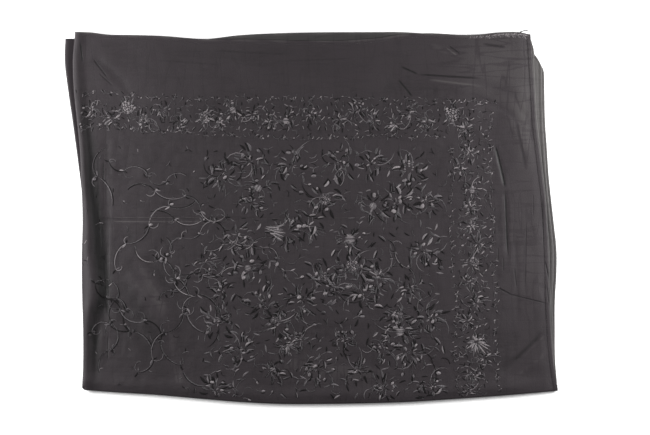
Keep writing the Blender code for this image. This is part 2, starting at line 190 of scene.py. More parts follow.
# Swell beside the left fold: y, distance of its crest from the fold, half width, height.
FOLD_CREST = np.array([
    (-262, 6, 6.5, 2.4),
    (-205, 6, 6, 2.8),
    (-155, 8, 7.5, 3.4),
    (-110, 16, 12, 4.4),
    (-50, 11, 10, 4.4),
    (10, 8, 7.5, 4),
    (55, 6, 6, 3.6),
    (120, 6, 6, 3.6),
    (190, 7, 8, 3),
    (272, 6, 7, 2.8),
])

# Hollow beyond that swell: y, distance of its deepest line from the fold, half width, depth.
FOLD_HOLLOW = np.array([
    (-262, 20, 8, 0.3),
    (-200, 17, 8, 0.7),
    (-160, 17, 10, 0.7),
    (-110, 33, 9, 1.1),
    (-50, 27, 11, 1),
    (10, 20, 9, 1.1),
    (55, 15, 9, 1.1),
    (110, 16, 9, 0.9),
    (165, 12, 7, 0.4),
    (272, 12, 7, 0),
])

# Thin sharp creases, painted on the crepe as a painted highlight on their lit sides and painted shade in
# them: start x and y, end x and y, half width, and how much lighter the crepe is painted along them, darker
# where negative.
SHARP_CREASES = (
    (-315, -0.9, -150, -0.9, 1.3, 0.42),
    (-318, -7, -150, -7, 1.3, 0.42),
    (-180, -3.9, 220, 0.4, 1.8, 0.16),
    (-308.5, 4, -308.5, 110, 1.1, 0.3),
    (-301, -240, -301, 0, 1.2, 0.3),
    (-311, 84, -311, 46, 1.4, -0.9),
    (-304, -176, -304.5, -216, 1.5, -0.8),
    (276, 108, 291.6, 42, 3, -2.4),
    (-327, 238, -304, 208, 2, -0.9),
    (-318, 216, -296, 196, 2, -0.7),
    (-345.5, 262, -342, 232, 2.2, -1.4),
    (-312, -56, -304, -154, 3.4, -0.9),
    (-318.5, 22, -316, -46, 3.4, -0.7),
    (-319, 96, -318, 26, 3.4, -0.4),
    (290.5, 44, 295, -62, 2.6, -1.1),
    (333, 36, 333, 0, 1.4, -0.4),
    (346.5, 36, 348.5, -52, 1.5, -0.6),
    (350.5, -64, 358, -102, 2, -1),
    (354, -104, 356, -130, 1.6, -1),
    (322.5, -6, 321, -112, 1.6, -0.5),
    (304.5, -76, 308, -106, 2, -0.6),
    (280, -106, 300, -116.5, 2.2, -1),
    (294, -115, 358, -131, 1.8, -0.8),
    (133.5, 226, 161, 213.5, 2.6, -1.2),
    (155, 214, 256, 207.5, 2.4, -1.1),
    (172, 206.5, 262, 195, 2.8, 0.28),
    (206, 257, 224, 243.5, 2, -0.9),
    (201, 255, 219, 241.5, 2, 0.3),
    (256, 259.5, 292, 254.5, 2.8, -0.8),
    (130, 207, 153, 179, 2.6, -1.2),
    (-150, 250, -20, 243, 2.4, -0.3),
    (-60, 233, 70, 238, 2.2, -0.3),
    (-240, 236, -130, 228, 2.4, -0.3),
    (280, -44, 280.5, -67, 1.6, -0.7),
    (288, -60, 288.5, -82, 1.6, -0.6),
    (306, 150, 323, 68, 3.6, -0.5),
)

# Broad soft bands of painted sheen and painted shade along the broad folds: the same columns.
SOFT_BANDS = (
    (-324, 70, -311, -160, 9, -0.42),
    (-276, -10, -262, -62, 5, -0.3),
    (-264, -60, -212, -146, 14, 0.32),
    (-214, -160, -194, -262, 12, 0.3),
    (-284, -92, -226, -196, 12, -0.28),
    (-240, -30, -190, -110, 10, -0.14),
    (301.5, -218, 345, -176, 4.4, -0.6),
    (313, -213, 354, -173, 4, 0.3),
    (-331, -160, -320, -194, 6, -0.6),
)

# Patches of painted light and painted shade on the crepe: x, y, spread along x and y, how much lighter it is
# painted, darker where negative.
PAINTED_LIGHT_PATCHES = (
    (285, 232, 70, 48, 0.19),
    (322, 110, 12, 60, 0.12),
    (325, -60, 30, 90, 0.1),
    (288, 172, 30, 16, 0.08),
    (320, 160, 13, 42, 0.34),
    (-60, 20, 120, 90, -0.06),
    (-240, -150, 75, 100, -0.34),
    (-180, 40, 90, 80, -0.16),
    (-60, 240, 160, 40, -0.1),
    (285, -200, 60, 40, -0.12),
    (-60, 152, 230, 28, -0.2),
)

# Corners of the folded shawl: y of the bottom left one, x of the bottom right, top left and top
# right ones.
LOW_CORNER_Y = -259.6
LOW_CORNER_X = 368.5
TOP_CORNERS_X = (-351.0, 328.9)

# Heights of the stack, and reach, corner and lip of the rolls round the folds, after the solids.
FLAT_TOP = 6.0
BOTTOM_SWELL = 1.8
EDGE_LIFT = 0.5
LIP_HEIGHT = 3.2
REAR_PLATEAU = 2.75
REAR_FOLD_ENDS = (-206.0, 267.3)
ROLL_REACH = 3.0
CORNER_RADIUS = 3.0
LIP_RUN = 6.0
CORNER_LIFT = 0.7
CORNER_RUN = 0.4
PLY_ALLOWANCE = 1.5

# Thickness of the silk, fall of the right margin, and the turned hem with the run of its step.
SILK = 0.6
MARGIN_FALL = 1.7
HEM_WIDTH = 6.0
HEM_RISE = 0.5
HEM_STEP = 0.9

# Distances from a free edge of the front ply at which its grid is closer, and the same for an
# under-ply's right and top edges, as shares of its width and depth.
HEM_LINES = (8.0, 6.6, 6.0, 5.4, 4.6, 3.0, 1.6, 0.8, 0.3, 0.0)
SIDE_LINES = (0.022, 0.012, 0.0085, 0.0075, 0.004, 0.0012, 0.0)
TOP_LINES = (0.027, 0.015, 0.011, 0.0095, 0.005, 0.0015, 0.0)


def soft(table, column, spot):
    """Smooth curve through a table's points: cubic pieces with slopes from the neighbours."""
    xs = table[:, 0]
    ys = table[:, column]
    steps = np.diff(ys) / np.diff(xs)
    slopes = np.concatenate(([steps[0]], 0.5 * (steps[:-1] + steps[1:]), [steps[-1]]))
    spot = np.clip(np.asarray(spot, dtype=float), xs[0], xs[-1])
    k = np.clip(np.searchsorted(xs, spot) - 1, 0, len(xs) - 2)
    span = xs[k + 1] - xs[k]
    t = (spot - xs[k]) / span
    return ((1 + 2 * t) * (1 - t) ** 2 * ys[k] + t * (1 - t) ** 2 * span * slopes[k]
            + t * t * (3 - 2 * t) * ys[k + 1] + t * t * (t - 1) * span * slopes[k + 1])


def ease(t):
    """0 below 0, 1 above 1, smooth between."""
    t = np.clip(t, 0.0, 1.0)
    return t * t * (3 - 2 * t)


# Edges in plan, as the curves through their tables

def left_edge(y):
    """x of the front pair's left fold."""
    return soft(LEFT_FOLDS, 1, y)


def rear_edge(y):
    """x of the rear pair's left fold."""
    return soft(LEFT_FOLDS, 2, y)


def right_edge(y, ply=0):
    """x of a ply's right edge, the front ply's where none is said."""
    return soft(RIGHT_EDGES, 1 + ply, y)


def top_edge(x, ply=0):
    """y of a ply's top edge."""
    return soft(TOP_EDGES, 1 + ply, x)


def bottom_edge(x):
    """y of the bottom fold."""
    return soft(BOTTOM_FOLD, 1, x)


# Relief of the front ply

def ripple_table(count, shortest, longest, seed):
    """Ripples of random length and direction: wave number along x, along y, and phase."""
    draw = np.random.default_rng(seed)
    length = draw.uniform(shortest, longest, count)
    angle = draw.uniform(0, np.pi, count)
    return np.stack((np.cos(angle) * 2 * np.pi / length, np.sin(angle) * 2 * np.pi / length,
                     draw.uniform(0, 2 * np.pi, count)), -1)


# Three sizes of ripple in the front ply, and the waves of the third ply's free edge.
PUCKERS = ripple_table(26, 9.0, 24.0, 5)
WRINKLES = ripple_table(18, 24.0, 55.0, 6)
DRAPE = ripple_table(12, 70.0, 170.0, 9)
WAVES = ripple_table(10, 40.0, 120.0, 12)


def ripples(x, y, table):
    """Sum of the table's sine waves over the root of their number, which is about one unit."""
    total = np.zeros_like(x)
    for kx, ky, phase in table:
        total += np.sin(kx * x + ky * y + phase)
    return total / np.sqrt(len(table))


def from_line(x, y, x1, y1, x2, y2):
    """Where points lie to a line: the share of its length that they are along, and how far they
    are to its left."""
    length = np.hypot(x2 - x1, y2 - y1)
    ax, ay = (x2 - x1) / length, (y2 - y1) / length
    return ((x - x1) * ax + (y - y1) * ay) / length, (y - y1) * ax - (x - x1) * ay


def crease_heights(x, y):
    """Soft troughs and ridges, each a bell across a bowed line and tapered along its length."""
    total = np.zeros_like(x)
    for *line, bow, width, height in CREASES:
        along, across = from_line(x, y, *line)
        across = across - bow * 4 * np.clip(along, 0, 1) * (1 - np.clip(along, 0, 1))
        taper = ease((along + 0.05) / 0.25) * ease((1.05 - along) / 0.25)
        total += height * taper * np.exp(-(across / width) ** 2)
    return total


def fold_hollow(x, y):
    """Depth of the hollow beside the left fold: a bell with its middle, width and depth by y."""
    middle, half, depth = (soft(FOLD_HOLLOW, k, y) for k in (1, 2, 3))
    return depth * np.exp(-((x - left_edge(y) - middle) / half) ** 2)


def pale_hem_line(x, y, ply=0):
    """How much paler a ply's crepe is in a thin line along its top edge, just inside the turn of its hem: a
    bell over the edge, by turns stronger and weaker along it."""
    return 0.4 * np.exp(-((top_edge(x, ply) - y - 0.8) / 2.2) ** 2) * (0.7 + 0.3 * np.sin(x / 9.0))


def painted_shading_and_hem_line(x, y):
    """How much lighter the front ply's crepe is painted than its ground: a share of its creases' height, as
    painted light on ridges and painted shade in troughs, less its hollow's depth as painted shade, with a
    bell for each patch of painted light and shade, a tapered bell for each band of painted sheen and shade,
    and its pale hem line."""
    total = 0.2 * crease_heights(x, y) - 1.2 * fold_hollow(x, y)
    for fx, fy, wide, deep, painted_lightness in PAINTED_LIGHT_PATCHES:
        total += painted_lightness * np.exp(-((x - fx) / wide) ** 2 - ((y - fy) / deep) ** 2)
    for *line, half, painted_lightness in SOFT_BANDS:
        along, across = from_line(x, y, *line)
        total += painted_lightness * ease(1 - np.abs(across) / half) * ease((0.5 - np.abs(along - 0.5)) / 0.2)
    return total + pale_hem_line(x, y)


def under_painted_shading_and_hem_line(x, y, ply):
    """How much lighter an under-ply's crepe is painted: painted light that grows up the side, painted shade
    where the front ply shades it at the top left, and its pale hem line."""
    in_shade = ease((y - 235.0) / 25.0) * ease((170.0 - x) / 50.0)
    return 0.5 * ease((y + 90.0) / 280.0) - 1.15 * in_shade + 2.2 * pale_hem_line(x, y, ply)


def flat_height(x, y, hem=True):
    """Height of the front ply's outer side, before it rolls round the folds: the stack's, with bells
    for its swells, a fall at the right margin, and creases and ripples that calm down at its edges."""
    in_left = x - left_edge(y)
    in_bottom = y - bottom_edge(x)
    free = np.minimum(right_edge(y) - x, top_edge(x) - y)
    height = np.full_like(x, FLAT_TOP)
    crest, spread, swell = (soft(FOLD_CREST, k, y) for k in (1, 2, 3))
    height += swell * np.exp(-((in_left - crest) / spread) ** 2) - 0.8 * fold_hollow(x, y)
    height += (BOTTOM_SWELL * np.exp(-((in_bottom - 13.0) / 11.0) ** 2)
               * ease((right_edge(y) - x) / 60.0))
    height += EDGE_LIFT * np.exp(-(free / 9.0) ** 2)
    height -= MARGIN_FALL * ease((18.0 - (right_edge(y) - x)) / 18.0)
    calm = (0.3 + 0.7 * ease((in_left - 4.0) / 14.0)) * ease((in_bottom - 2.0) / 12.0)
    calm = calm * ease((free - 4.0) / 16.0)
    stitched = ease((right_edge(y) - x - 55.0) / 20.0) * ease((top_edge(x) - y - 75.0) / 20.0)
    wrinkles = crease_heights(x, y) + 0.5 * ripples(x, y, DRAPE) + 0.16 * ripples(x, y, WRINKLES)
    wrinkles += (0.04 + 0.11 * stitched) * ripples(x, y, PUCKERS)
    height += wrinkles * calm
    for sx, sy, wide, deep, rise in SWELLS:
        height += rise * np.exp(-((x - sx) / wide) ** 2 - ((y - sy) / deep) ** 2)
    if hem:
        height += HEM_RISE * (1 - ease((free - HEM_WIDTH + HEM_STEP) / HEM_STEP)) * ease((free + 0.6) / 1.6)
    return height


def silk_height(x, y):
    """Height of the front ply's outer side, with the quarter rolls over its two folds."""
    height = flat_height(x, y)
    in_left = x - left_edge(y)
    in_bottom = y - bottom_edge(x)
    for inset, low in ((in_left, LIP_HEIGHT), (in_bottom, 0.0)):
        short = np.clip((ROLL_REACH - inset) / ROLL_REACH, 0, 1)
        height = low + (height - low) * 0.5 * (1 + np.sqrt(1 - short ** 2))
    return height


# Sheets

def graded(start, stop, pitch, first=(), last=()):
    """Grid lines from start to stop: an even pitch, with closer lines given near either end."""
    inner_start = start + (first[-1] if len(first) else 0.0)
    inner_stop = stop - (last[0] if len(last) else 0.0)
    count = max(int(round((inner_stop - inner_start) / pitch)), 1)
    even = np.linspace(inner_start, inner_stop, count + 1)
    head = [start + d for d in first[:-1]]
    tail = [stop - d for d in last[1:]]
    return np.array(head + list(even) + tail)


def coons(low, high, left, right, u, v):
    """Four-sided patch: opposite sides blended in proportion both ways, less the blend of the
    four corners."""
    u, v = u[:, None, None], v[None, :, None]
    corners = ((1 - u) * (1 - v) * low[0] + u * (1 - v) * low[-1]
               + (1 - u) * v * high[0] + u * v * high[-1])
    return (1 - u) * left[None] + u * right[None] + (1 - v) * low[:, None] + v * high[:, None] - corners


def front_plan(u, v):
    """Plan of the front ply inside the rolls: a patch between its edge curves."""
    corner_y = LOW_CORNER_Y + ROLL_REACH
    corner_x = float(left_edge(corner_y)) + ROLL_REACH
    right_y = float(bottom_edge(LOW_CORNER_X)) + ROLL_REACH
    left_top, right_top = (float(top_edge(x)) for x in TOP_CORNERS_X)
    y = corner_y + (left_top - corner_y) * v
    left = np.stack((left_edge(y) + ROLL_REACH, y), -1)
    y = right_y + (right_top - right_y) * v
    right = np.stack((right_edge(y), y), -1)
    x = corner_x + (right[0, 0] - corner_x) * u
    low = np.stack((x, bottom_edge(x) + ROLL_REACH), -1)
    x = left[-1, 0] + (right[-1, 0] - left[-1, 0]) * u
    high = np.stack((x, top_edge(x)), -1)
    return coons(low, high, left, right, u, v)


def front_surface(pitch, roll_steps):
    """Outer side of the front ply: a patch whose first lines roll round the left fold to its
    lip and round the bottom fold to the floor, with spokes round the corner between them."""
    columns = graded(ROLL_REACH, WIDTH, pitch, first=(0.0, 1.5), last=HEM_LINES)
    rows = graded(ROLL_REACH, DEPTH, pitch, first=(0.0, 1.5), last=HEM_LINES)
    u = (columns - columns[0]) / (columns[-1] - columns[0])
    v = (rows - rows[0]) / (rows[-1] - rows[0])
    plan = front_plan(u, v)
    rings = roll_steps + 2
    points = np.zeros((len(u) + rings, len(v) + rings, 3))
    heights = flat_height(plan[..., 0], plan[..., 1])
    points[rings:, rings:, :2] = plan
    points[rings:, rings:, 2] = heights
    centre = plan[0, 0] + CORNER_RADIUS
    points[rings, rings, :2] += CORNER_RADIUS * (1 - np.sqrt(0.5))
    away_left = plan[0, 1:, 1] - centre[1]
    away_low = plan[1:, 0, 0] - centre[0]
    low_left = LIP_HEIGHT * ease((away_left - 10.0) / 30.0)
    for k in range(1, rings + 1):
        turn = np.radians(90 + 180.0 * min(k, roll_steps) / roll_steps)
        reach = -ROLL_REACH * np.cos(turn)
        share = 0.5 * (1 + np.sin(turn))
        past = max(k - roll_steps, 0) / 2.0
        run_left = past * (CORNER_RUN + (LIP_RUN - CORNER_RUN) * ease(away_left / 24.0))
        run_low = past * (CORNER_RUN + (LIP_RUN - CORNER_RUN) * ease(away_low / 24.0))
        index = rings - k
        points[index, rings + 1:, 0] = plan[0, 1:, 0] - reach + run_left
        points[index, rings + 1:, 1] = plan[0, 1:, 1]
        points[index, rings + 1:, 2] = low_left + (heights[0, 1:] - low_left) * share
        points[rings + 1:, index, 0] = plan[1:, 0, 0]
        points[rings + 1:, index, 1] = plan[1:, 0, 1] - reach + run_low
        points[rings + 1:, index, 2] = heights[1:, 0] * share
        spokes = np.arange(index, rings + 1)
        radius = CORNER_RADIUS + reach - past * CORNER_RUN
        swing = np.radians(45.0) * (spokes - index) / (k + 1)
        for angle, i, j in ((np.radians(225.0) - swing, index, spokes),
                            (np.radians(225.0) + swing, spokes, index)):
            points[i, j, 0] = centre[0] + radius * np.cos(angle)
            points[i, j, 1] = centre[1] + radius * np.sin(angle)
            points[i, j, 2] = CORNER_LIFT + (heights[0, 0] - CORNER_LIFT) * share
    return points


def round_corner(side, near, start, corner, end):
    """The last stretch of a side, bent to the middle of the curve that cuts off its corner."""
    t = 0.5 * np.clip(near, 0, 1)[:, None]
    curve = (1 - t) ** 2 * start + 2 * t * (1 - t) * corner + t * t * end
    return np.where(t > 0, curve, side)


def rounded_sides(left, right, low, high, radius, f, g):
    """Four sides of an under-ply's plan, met at their corners, with the top right one round."""
    corners = []
    for side, level, x, y in ((left, low, -300.0, -200.0), (right, low, 340.0, -200.0),
                              (right, high, 340.0, 200.0), (left, high, -300.0, 200.0)):
        for _ in range(30):
            y = float(level(x))
            x = float(side(y))
        corners.append(np.array((x, y)))
    bl, br, tr, tl = corners
    below = np.array((float(right(tr[1] - radius)), tr[1] - radius))
    beside = np.array((tr[0] - radius, float(high(tr[0] - radius))))
    x = bl[0] + (br[0] - bl[0]) * f
    low_side = np.stack((x, low(x)), -1)
    y = bl[1] + (tl[1] - bl[1]) * g
    left_side = np.stack((left(y), y), -1)
    y = br[1] + (tr[1] - br[1]) * g
    x = right(y)
    side = np.stack((x, y), -1)
    right_side = round_corner(side, 1 - (tr[1] - y) / radius, below, tr, beside)
    x = tl[0] + (tr[0] - tl[0]) * f
    side = np.stack((x, high(x)), -1)
    high_side = round_corner(side, 1 - (tr[0] - x) / radius, beside, tr, below)
    return low_side, high_side, left_side, right_side


def under_ply(ply, level, in_left, in_bottom, radius):
    """An under-ply: a patch between its rounded sides, at its share of the stack's height, with
    a turned hem. The lowest lies almost flat, and the middle one waves a little where it shows."""
    f = graded(0.0, 1.0, 0.014, last=SIDE_LINES)
    g = graded(0.0, 1.0, 0.014, last=TOP_LINES)
    sides = rounded_sides(
        lambda y: left_edge(y) + in_left, lambda y: right_edge(y, ply),
        lambda x: bottom_edge(x) + in_bottom, lambda x: top_edge(x, ply), radius, f, g)
    x, y = np.moveaxis(coons(*sides, f, g), -1, 0)
    free = np.minimum((1 - f[:, None]) * WIDTH, (1 - g[None, :]) * DEPTH)
    beyond = np.maximum(x - right_edge(y), y - top_edge(x))
    stack = flat_height(np.minimum(x, right_edge(y) - 9.0), np.minimum(y, top_edge(x) - 9.0),
                        hem=False) - PLY_ALLOWANCE
    height = level * stack if level > 0.5 else 1.05 + 0.16 * (stack - 4.5)
    if 0.5 < level < 0.9:
        height += 0.3 * ripples(x, y, WAVES) * ease((beyond + 1.0) / 5.0)
        height -= 0.9 * ease(beyond / 12.0)
    turned_hem = (1 - ease((free - HEM_WIDTH + HEM_STEP) / HEM_STEP)) * ease(free / 1.2)
    height += 0.35 * turned_hem * ease((beyond + 1.0) / 3.0)
    return np.stack((x, y, height), -1)


def rear_fold_surface():
    """Outer side of the rear pair's fold: a rolled profile carried along the left side."""
    y = graded(REAR_FOLD_ENDS[0] + 2.0, REAR_FOLD_ENDS[1], 3.2)
    out = left_edge(y) - rear_edge(y)
    radius = 1.4 + 1.1 * ease(out / 12.0) + 0.12 * np.sin(y / 17.0) * ease(out / 8.0)
    inner_end = out + 9.5
    plateau = np.maximum(out, 0.0) + 3.6
    columns = [(inner_end, np.full_like(y, REAR_PLATEAU)), (plateau, np.full_like(y, REAR_PLATEAU))]
    for t in (0.33, 0.66):
        share = ease(t)
        columns.append((plateau + (radius - plateau) * t,
                        REAR_PLATEAU + (2 * radius - REAR_PLATEAU) * share))
    for angle in np.radians(np.linspace(90, 270, 13)):
        columns.append((radius * (1 + np.cos(angle)), radius * (1 + np.sin(angle))))
    columns.append((inner_end, np.zeros_like(y)))
    points = np.zeros((len(columns), len(y), 3))
    for k, (inset, height) in enumerate(reversed(columns)):
        points[k] = np.stack((rear_edge(y) + inset, y, height), -1)
    return points


def new_mesh(name, points, faces, material):
    """Smooth shaded mesh of triangles from points in millimetres."""
    moved = points.reshape(-1, 3).copy()
    moved[:, 1] += SHIFT_Y
    mesh = bpy.data.meshes.new(name)
    mesh.vertices.add(len(moved))
    mesh.vertices.foreach_set("co", (moved * MM).ravel())
    mesh.loops.add(faces.size)
    mesh.loops.foreach_set("vertex_index", faces.ravel().astype(np.int32))
    mesh.polygons.add(len(faces))
    mesh.polygons.foreach_set("loop_start", np.arange(0, faces.size, 3, dtype=np.int32))
    mesh.polygons.foreach_set("use_smooth", np.ones(len(faces), dtype=bool))
    mesh.update(calc_edges=True)
    mesh.materials.append(material)
    piece = bpy.data.objects.new(name, mesh)
    bpy.context.scene.collection.objects.link(piece)
    return piece


def sheet_piece(name, points, material):
    """A sheet of silk from its outer side as a grid, given its thickness on the inner side."""
    ni, nj = points.shape[:2]
    i, j = np.meshgrid(np.arange(ni - 1), np.arange(nj - 1), indexing="ij")
    a = (i * nj + j).ravel()
    faces = np.concatenate((np.stack((a, a + nj, a + nj + 1), -1),
                            np.stack((a, a + nj + 1, a + 1), -1)))
    piece = new_mesh(name, points, faces, material)
    wall = piece.modifiers.new("cloth thickness", "SOLIDIFY")
    wall.thickness = SILK * MM
    wall.offset = -1.0
    wall.use_rim = True
    return piece


def set_painted_shading(piece, values):
    """Store on every point how much lighter its crepe is painted than the ground, for painted light and shade
    and its pale hem line.
    """
    store = piece.data.attributes.new("painted_shading_and_hem_line", "FLOAT", "POINT")
    store.data.foreach_set("value", values.astype(np.float32).ravel())


# Embroidery motifs

# A motif is rows of satin stitch: x, y, heading, length, width, turn along it, tone. Angles are in degrees,
# and tones run from 0, matt black, to 1, the brightest floss.
# All of it is the same black floss: its tones are painted sheen and painted shade, lighter where a stitch
# would catch the light and darker where it would lie in shade.

# Tones that petals and leaves take in turn.
LEAF_TONES = (0.85, 0.1, 0.5, 0.68, 0.12, 0.42, 0.78, 0.3, 0.6, 0.08)


def stitch(*rows):
    """A motif given row by row."""
    return np.array(rows, dtype=float)


def in_columns(*columns):
    """A motif given column by column, each an array or one number for all of its rows."""
    return np.stack(np.broadcast_arrays(*columns), -1).astype(float)


def polar(angle, reach):
    """The point at an angle in degrees and a distance from the motif's middle."""
    return reach * np.cos(np.radians(angle)), reach * np.sin(np.radians(angle))


def side_of(k):
    """Which way a motif bends: 1 where its number is even and -1 where it is odd."""
    return 1.0 - 2.0 * (k % 2)


def around(count, radius, width, tone, start=0.0, cover=1.15):
    """Crescents that lie along a ring."""
    angle = start + 360.0 * np.arange(count) / count
    return in_columns(*polar(angle, radius), angle + 90.0, 2 * np.pi * radius * cover / count, width,
                      360.0 * cover / count, tone)


def burst(k, count=8, length=8.0, width=2.5, start=0.0, sweep=360.0, inner=1.4):
    """Loose blossom or bunch of leaves: petals of uneven length, bend and tone round a point."""
    draw = np.random.default_rng(7000 + k)
    angle = start + sweep * (np.arange(count) + 0.5 + draw.uniform(-0.34, 0.34, count)) / count
    reach = inner + draw.uniform(0.0, 1.4, count)
    tones = draw.permutation(np.resize(LEAF_TONES, count))
    return in_columns(*polar(angle, reach), angle + draw.uniform(-14, 14, count),
                      length * draw.uniform(0.5, 1.25, count), width * draw.uniform(0.7, 1.15, count),
                      draw.uniform(-38, 38, count), tones)


def blossom(k):
    """Loose blossom with two or three bright knots at its heart."""
    draw = np.random.default_rng(7500 + k)
    hearts = [(*draw.uniform(-1.6, 1.6, 2), draw.uniform(0, 180), 2.8, 2.4, 0.0, 0.85)
              for _ in range(2 + k % 2)]
    return np.concatenate((burst(k), stitch(*hearts)))


def scales(k):
    """Full blossom: rings of short thick stitches, close like fish scales, light and dark."""
    draw = np.random.default_rng(7700 + k)
    rings = [around(11, 8.2, 2.5, 0.56, start=k * 23.0, cover=0.86),
             around(9, 5.9, 2.4, 0.72, start=k * 41.0, cover=0.86),
             around(6, 3.7, 2.3, 0.6, start=k * 11.0, cover=0.86),
             around(3, 1.6, 2.1, 0.8, start=k * 5.0, cover=0.8)]
    rows = np.concatenate(rings)
    rows[:, 6] += draw.uniform(-0.3, 0.26, len(rows))
    rows[:, :2] += draw.uniform(-0.35, 0.35, (len(rows), 2))
    return rows


def pompon(k):
    """Smooth full blossom: rows of satin stitch side by side under one round outline."""
    n = np.arange(7)
    y = 1.9 * (n - 3.0)
    half = np.sqrt(np.maximum(46.0 - 0.8 * y ** 2, 4.0))
    return in_columns(-half, y, 4.0 * (y > 0) - 2.0, 2 * half, 2.3, -2.4 * y,
                      0.74 + 0.1 * np.cos(2.1 * n + k))


def shell(k):
    """Half-open blossom: long wavy stitches side by side, light and dark in turn."""
    n = np.arange(11)
    return in_columns(-1.3 * np.abs(n - 5.0), 2.15 * (n - 5.0), 170.0 + 4.6 * (n - 5.0),
                      26.0 - np.abs(n - 5.5) ** 1.5, 2.3, -30.0 + 7.0 * (n % 3), np.where(n % 2, 0.98, 0.5))


def chrysanthemum(k):
    """Blossom whose long thin petals hang to one side, over short dark ones."""
    petals = burst(k, 11, 13.0, 2.0, start=-158.0, sweep=150.0)
    petals[:, 6] = np.where(np.arange(11) % 3, 0.9, 0.55)
    heart = stitch((-1.8, 1.0, 20.0, 4.6, 2.8, 0.0, 1.0), (1.2, 2.4, -30.0, 4.0, 2.4, 0.0, 0.9))
    return np.concatenate((petals, burst(k + 1, 7, 6.0, 2.6, start=0.0, sweep=180.0), heart))


def berries(k):
    """Columns of round berries on fine stalks."""
    ys = np.arange(4) * 3.4
    rows = [(-6.0, y - 5.0, 90.0, 2.6, 3.4, 0.0, 0.9) for y in ys[:3]]
    rows += [(-0.6, y + 2.6, 70.0, 2.6, 3.6, 0.0, 0.95) for y in ys[:3]]
    rows += [(4.4 + 0.8 * (n % 2), y - 2.4, 90.0, 2.5, 3.4, 0.0, 0.8) for n, y in enumerate(ys)]
    rows += [(-2.4, 8.6, 100.0, 9.0, 1.3, 8.0, 0.5), (3.6, 10.0, 84.0, 8.0, 1.2, -8.0, 0.4),
             (8.6, -2.0, 60.0, 8.0, 3.0, 20.0, 0.04), (-8.0, 0.0, 80.0, 7.0, 2.4, 0.0, 0.04)]
    return stitch(*rows)


def spray(k):
    """Leaves that fan from the tip of a stem."""
    leaves = burst(k, 6, 12.0, 2.7, start=16.0, sweep=150.0)
    return np.concatenate((leaves, stitch((0.0, 0.0, -90.0, 12.0, 1.5, 30.0 - 20.0 * (k % 4), 0.55))))


def comma(k):
    """One curved leaf, light or dark."""
    return stitch((0.0, -5.0, 90.0, 11.0, 3.0, -30.0 * side_of(k), (0.74, 0.08, 0.56, 0.12)[k % 4]))


def twin(k):
    """One curved leaf, a painted highlight on one half and painted shade on the other."""
    side = side_of(k)
    return stitch((0.0, -6.0, 90.0, 12.0, 2.8, -30.0 * side, 0.78),
                  (2.0 * side, -6.0, 88.0, 11.5, 2.4, -32.0 * side, 0.07))


def bud(k):
    """Closed bud: one fat light stitch, a sepal in painted shade beside it and a bent stalk."""
    side = side_of(k)
    return stitch((0.0, 0.0, 90.0, 6.4, 4.6, 0.0, 0.85),
                  (-3.0 * side, -0.8, 84.0, 7.0, 2.2, -30.0 * side, 0.06),
                  (0.0, -0.2, -92.0, 10.0, 1.6, 44.0 * side, 0.55))


def pair(k):
    """Two leaves that open from one stem."""
    return stitch((0.0, 0.0, 58.0, 11.0, 3.0, -28.0, 0.76),
                  (0.0, 0.0, 124.0, 10.0, 3.0, 30.0, (0.6, 0.08)[k % 2]),
                  (0.0, 0.0, -88.0, 10.0, 1.7, -30.0, 0.55))


def curl(k):
    """Thin tendril, almost a half ring."""
    return stitch((0.0, 0.0, 60.0, 17.0, 1.4, 130.0 * side_of(k), (0.6, 0.34)[k % 3 > 0]))


def wisp(k):
    """Two thin bent stems that part."""
    side = side_of(k)
    return stitch((0.0, 0.0, 80.0, 15.0, 1.2, 45.0 * side, 0.5),
                  (0.4, 2.0, 80.0, 11.0, 1.3, -50.0 * side, 0.1))


def knot(x, y, heading, length, fat, tone, side):
    """Round or oval knots of satin stitch, each with a crescent of painted shadow stitched beside it, in the
    darkest tone.
    """
    half_x, half_y = polar(heading, 0.5 * length)
    knots = in_columns(x - half_x, y - half_y, heading, length, fat * length, 0.0, tone)
    out = 0.5 * fat * length + 0.6
    aside_x, aside_y = polar(heading - 90.0 * side, out)
    back_x, back_y = polar(heading, 0.55 * length)
    crescents = in_columns(x + aside_x - back_x, y + aside_y - back_y, heading - 22.0 * side,
                           1.1 * length, 1.5, 44.0 * side, 0.06)
    return np.concatenate((knots, crescents))


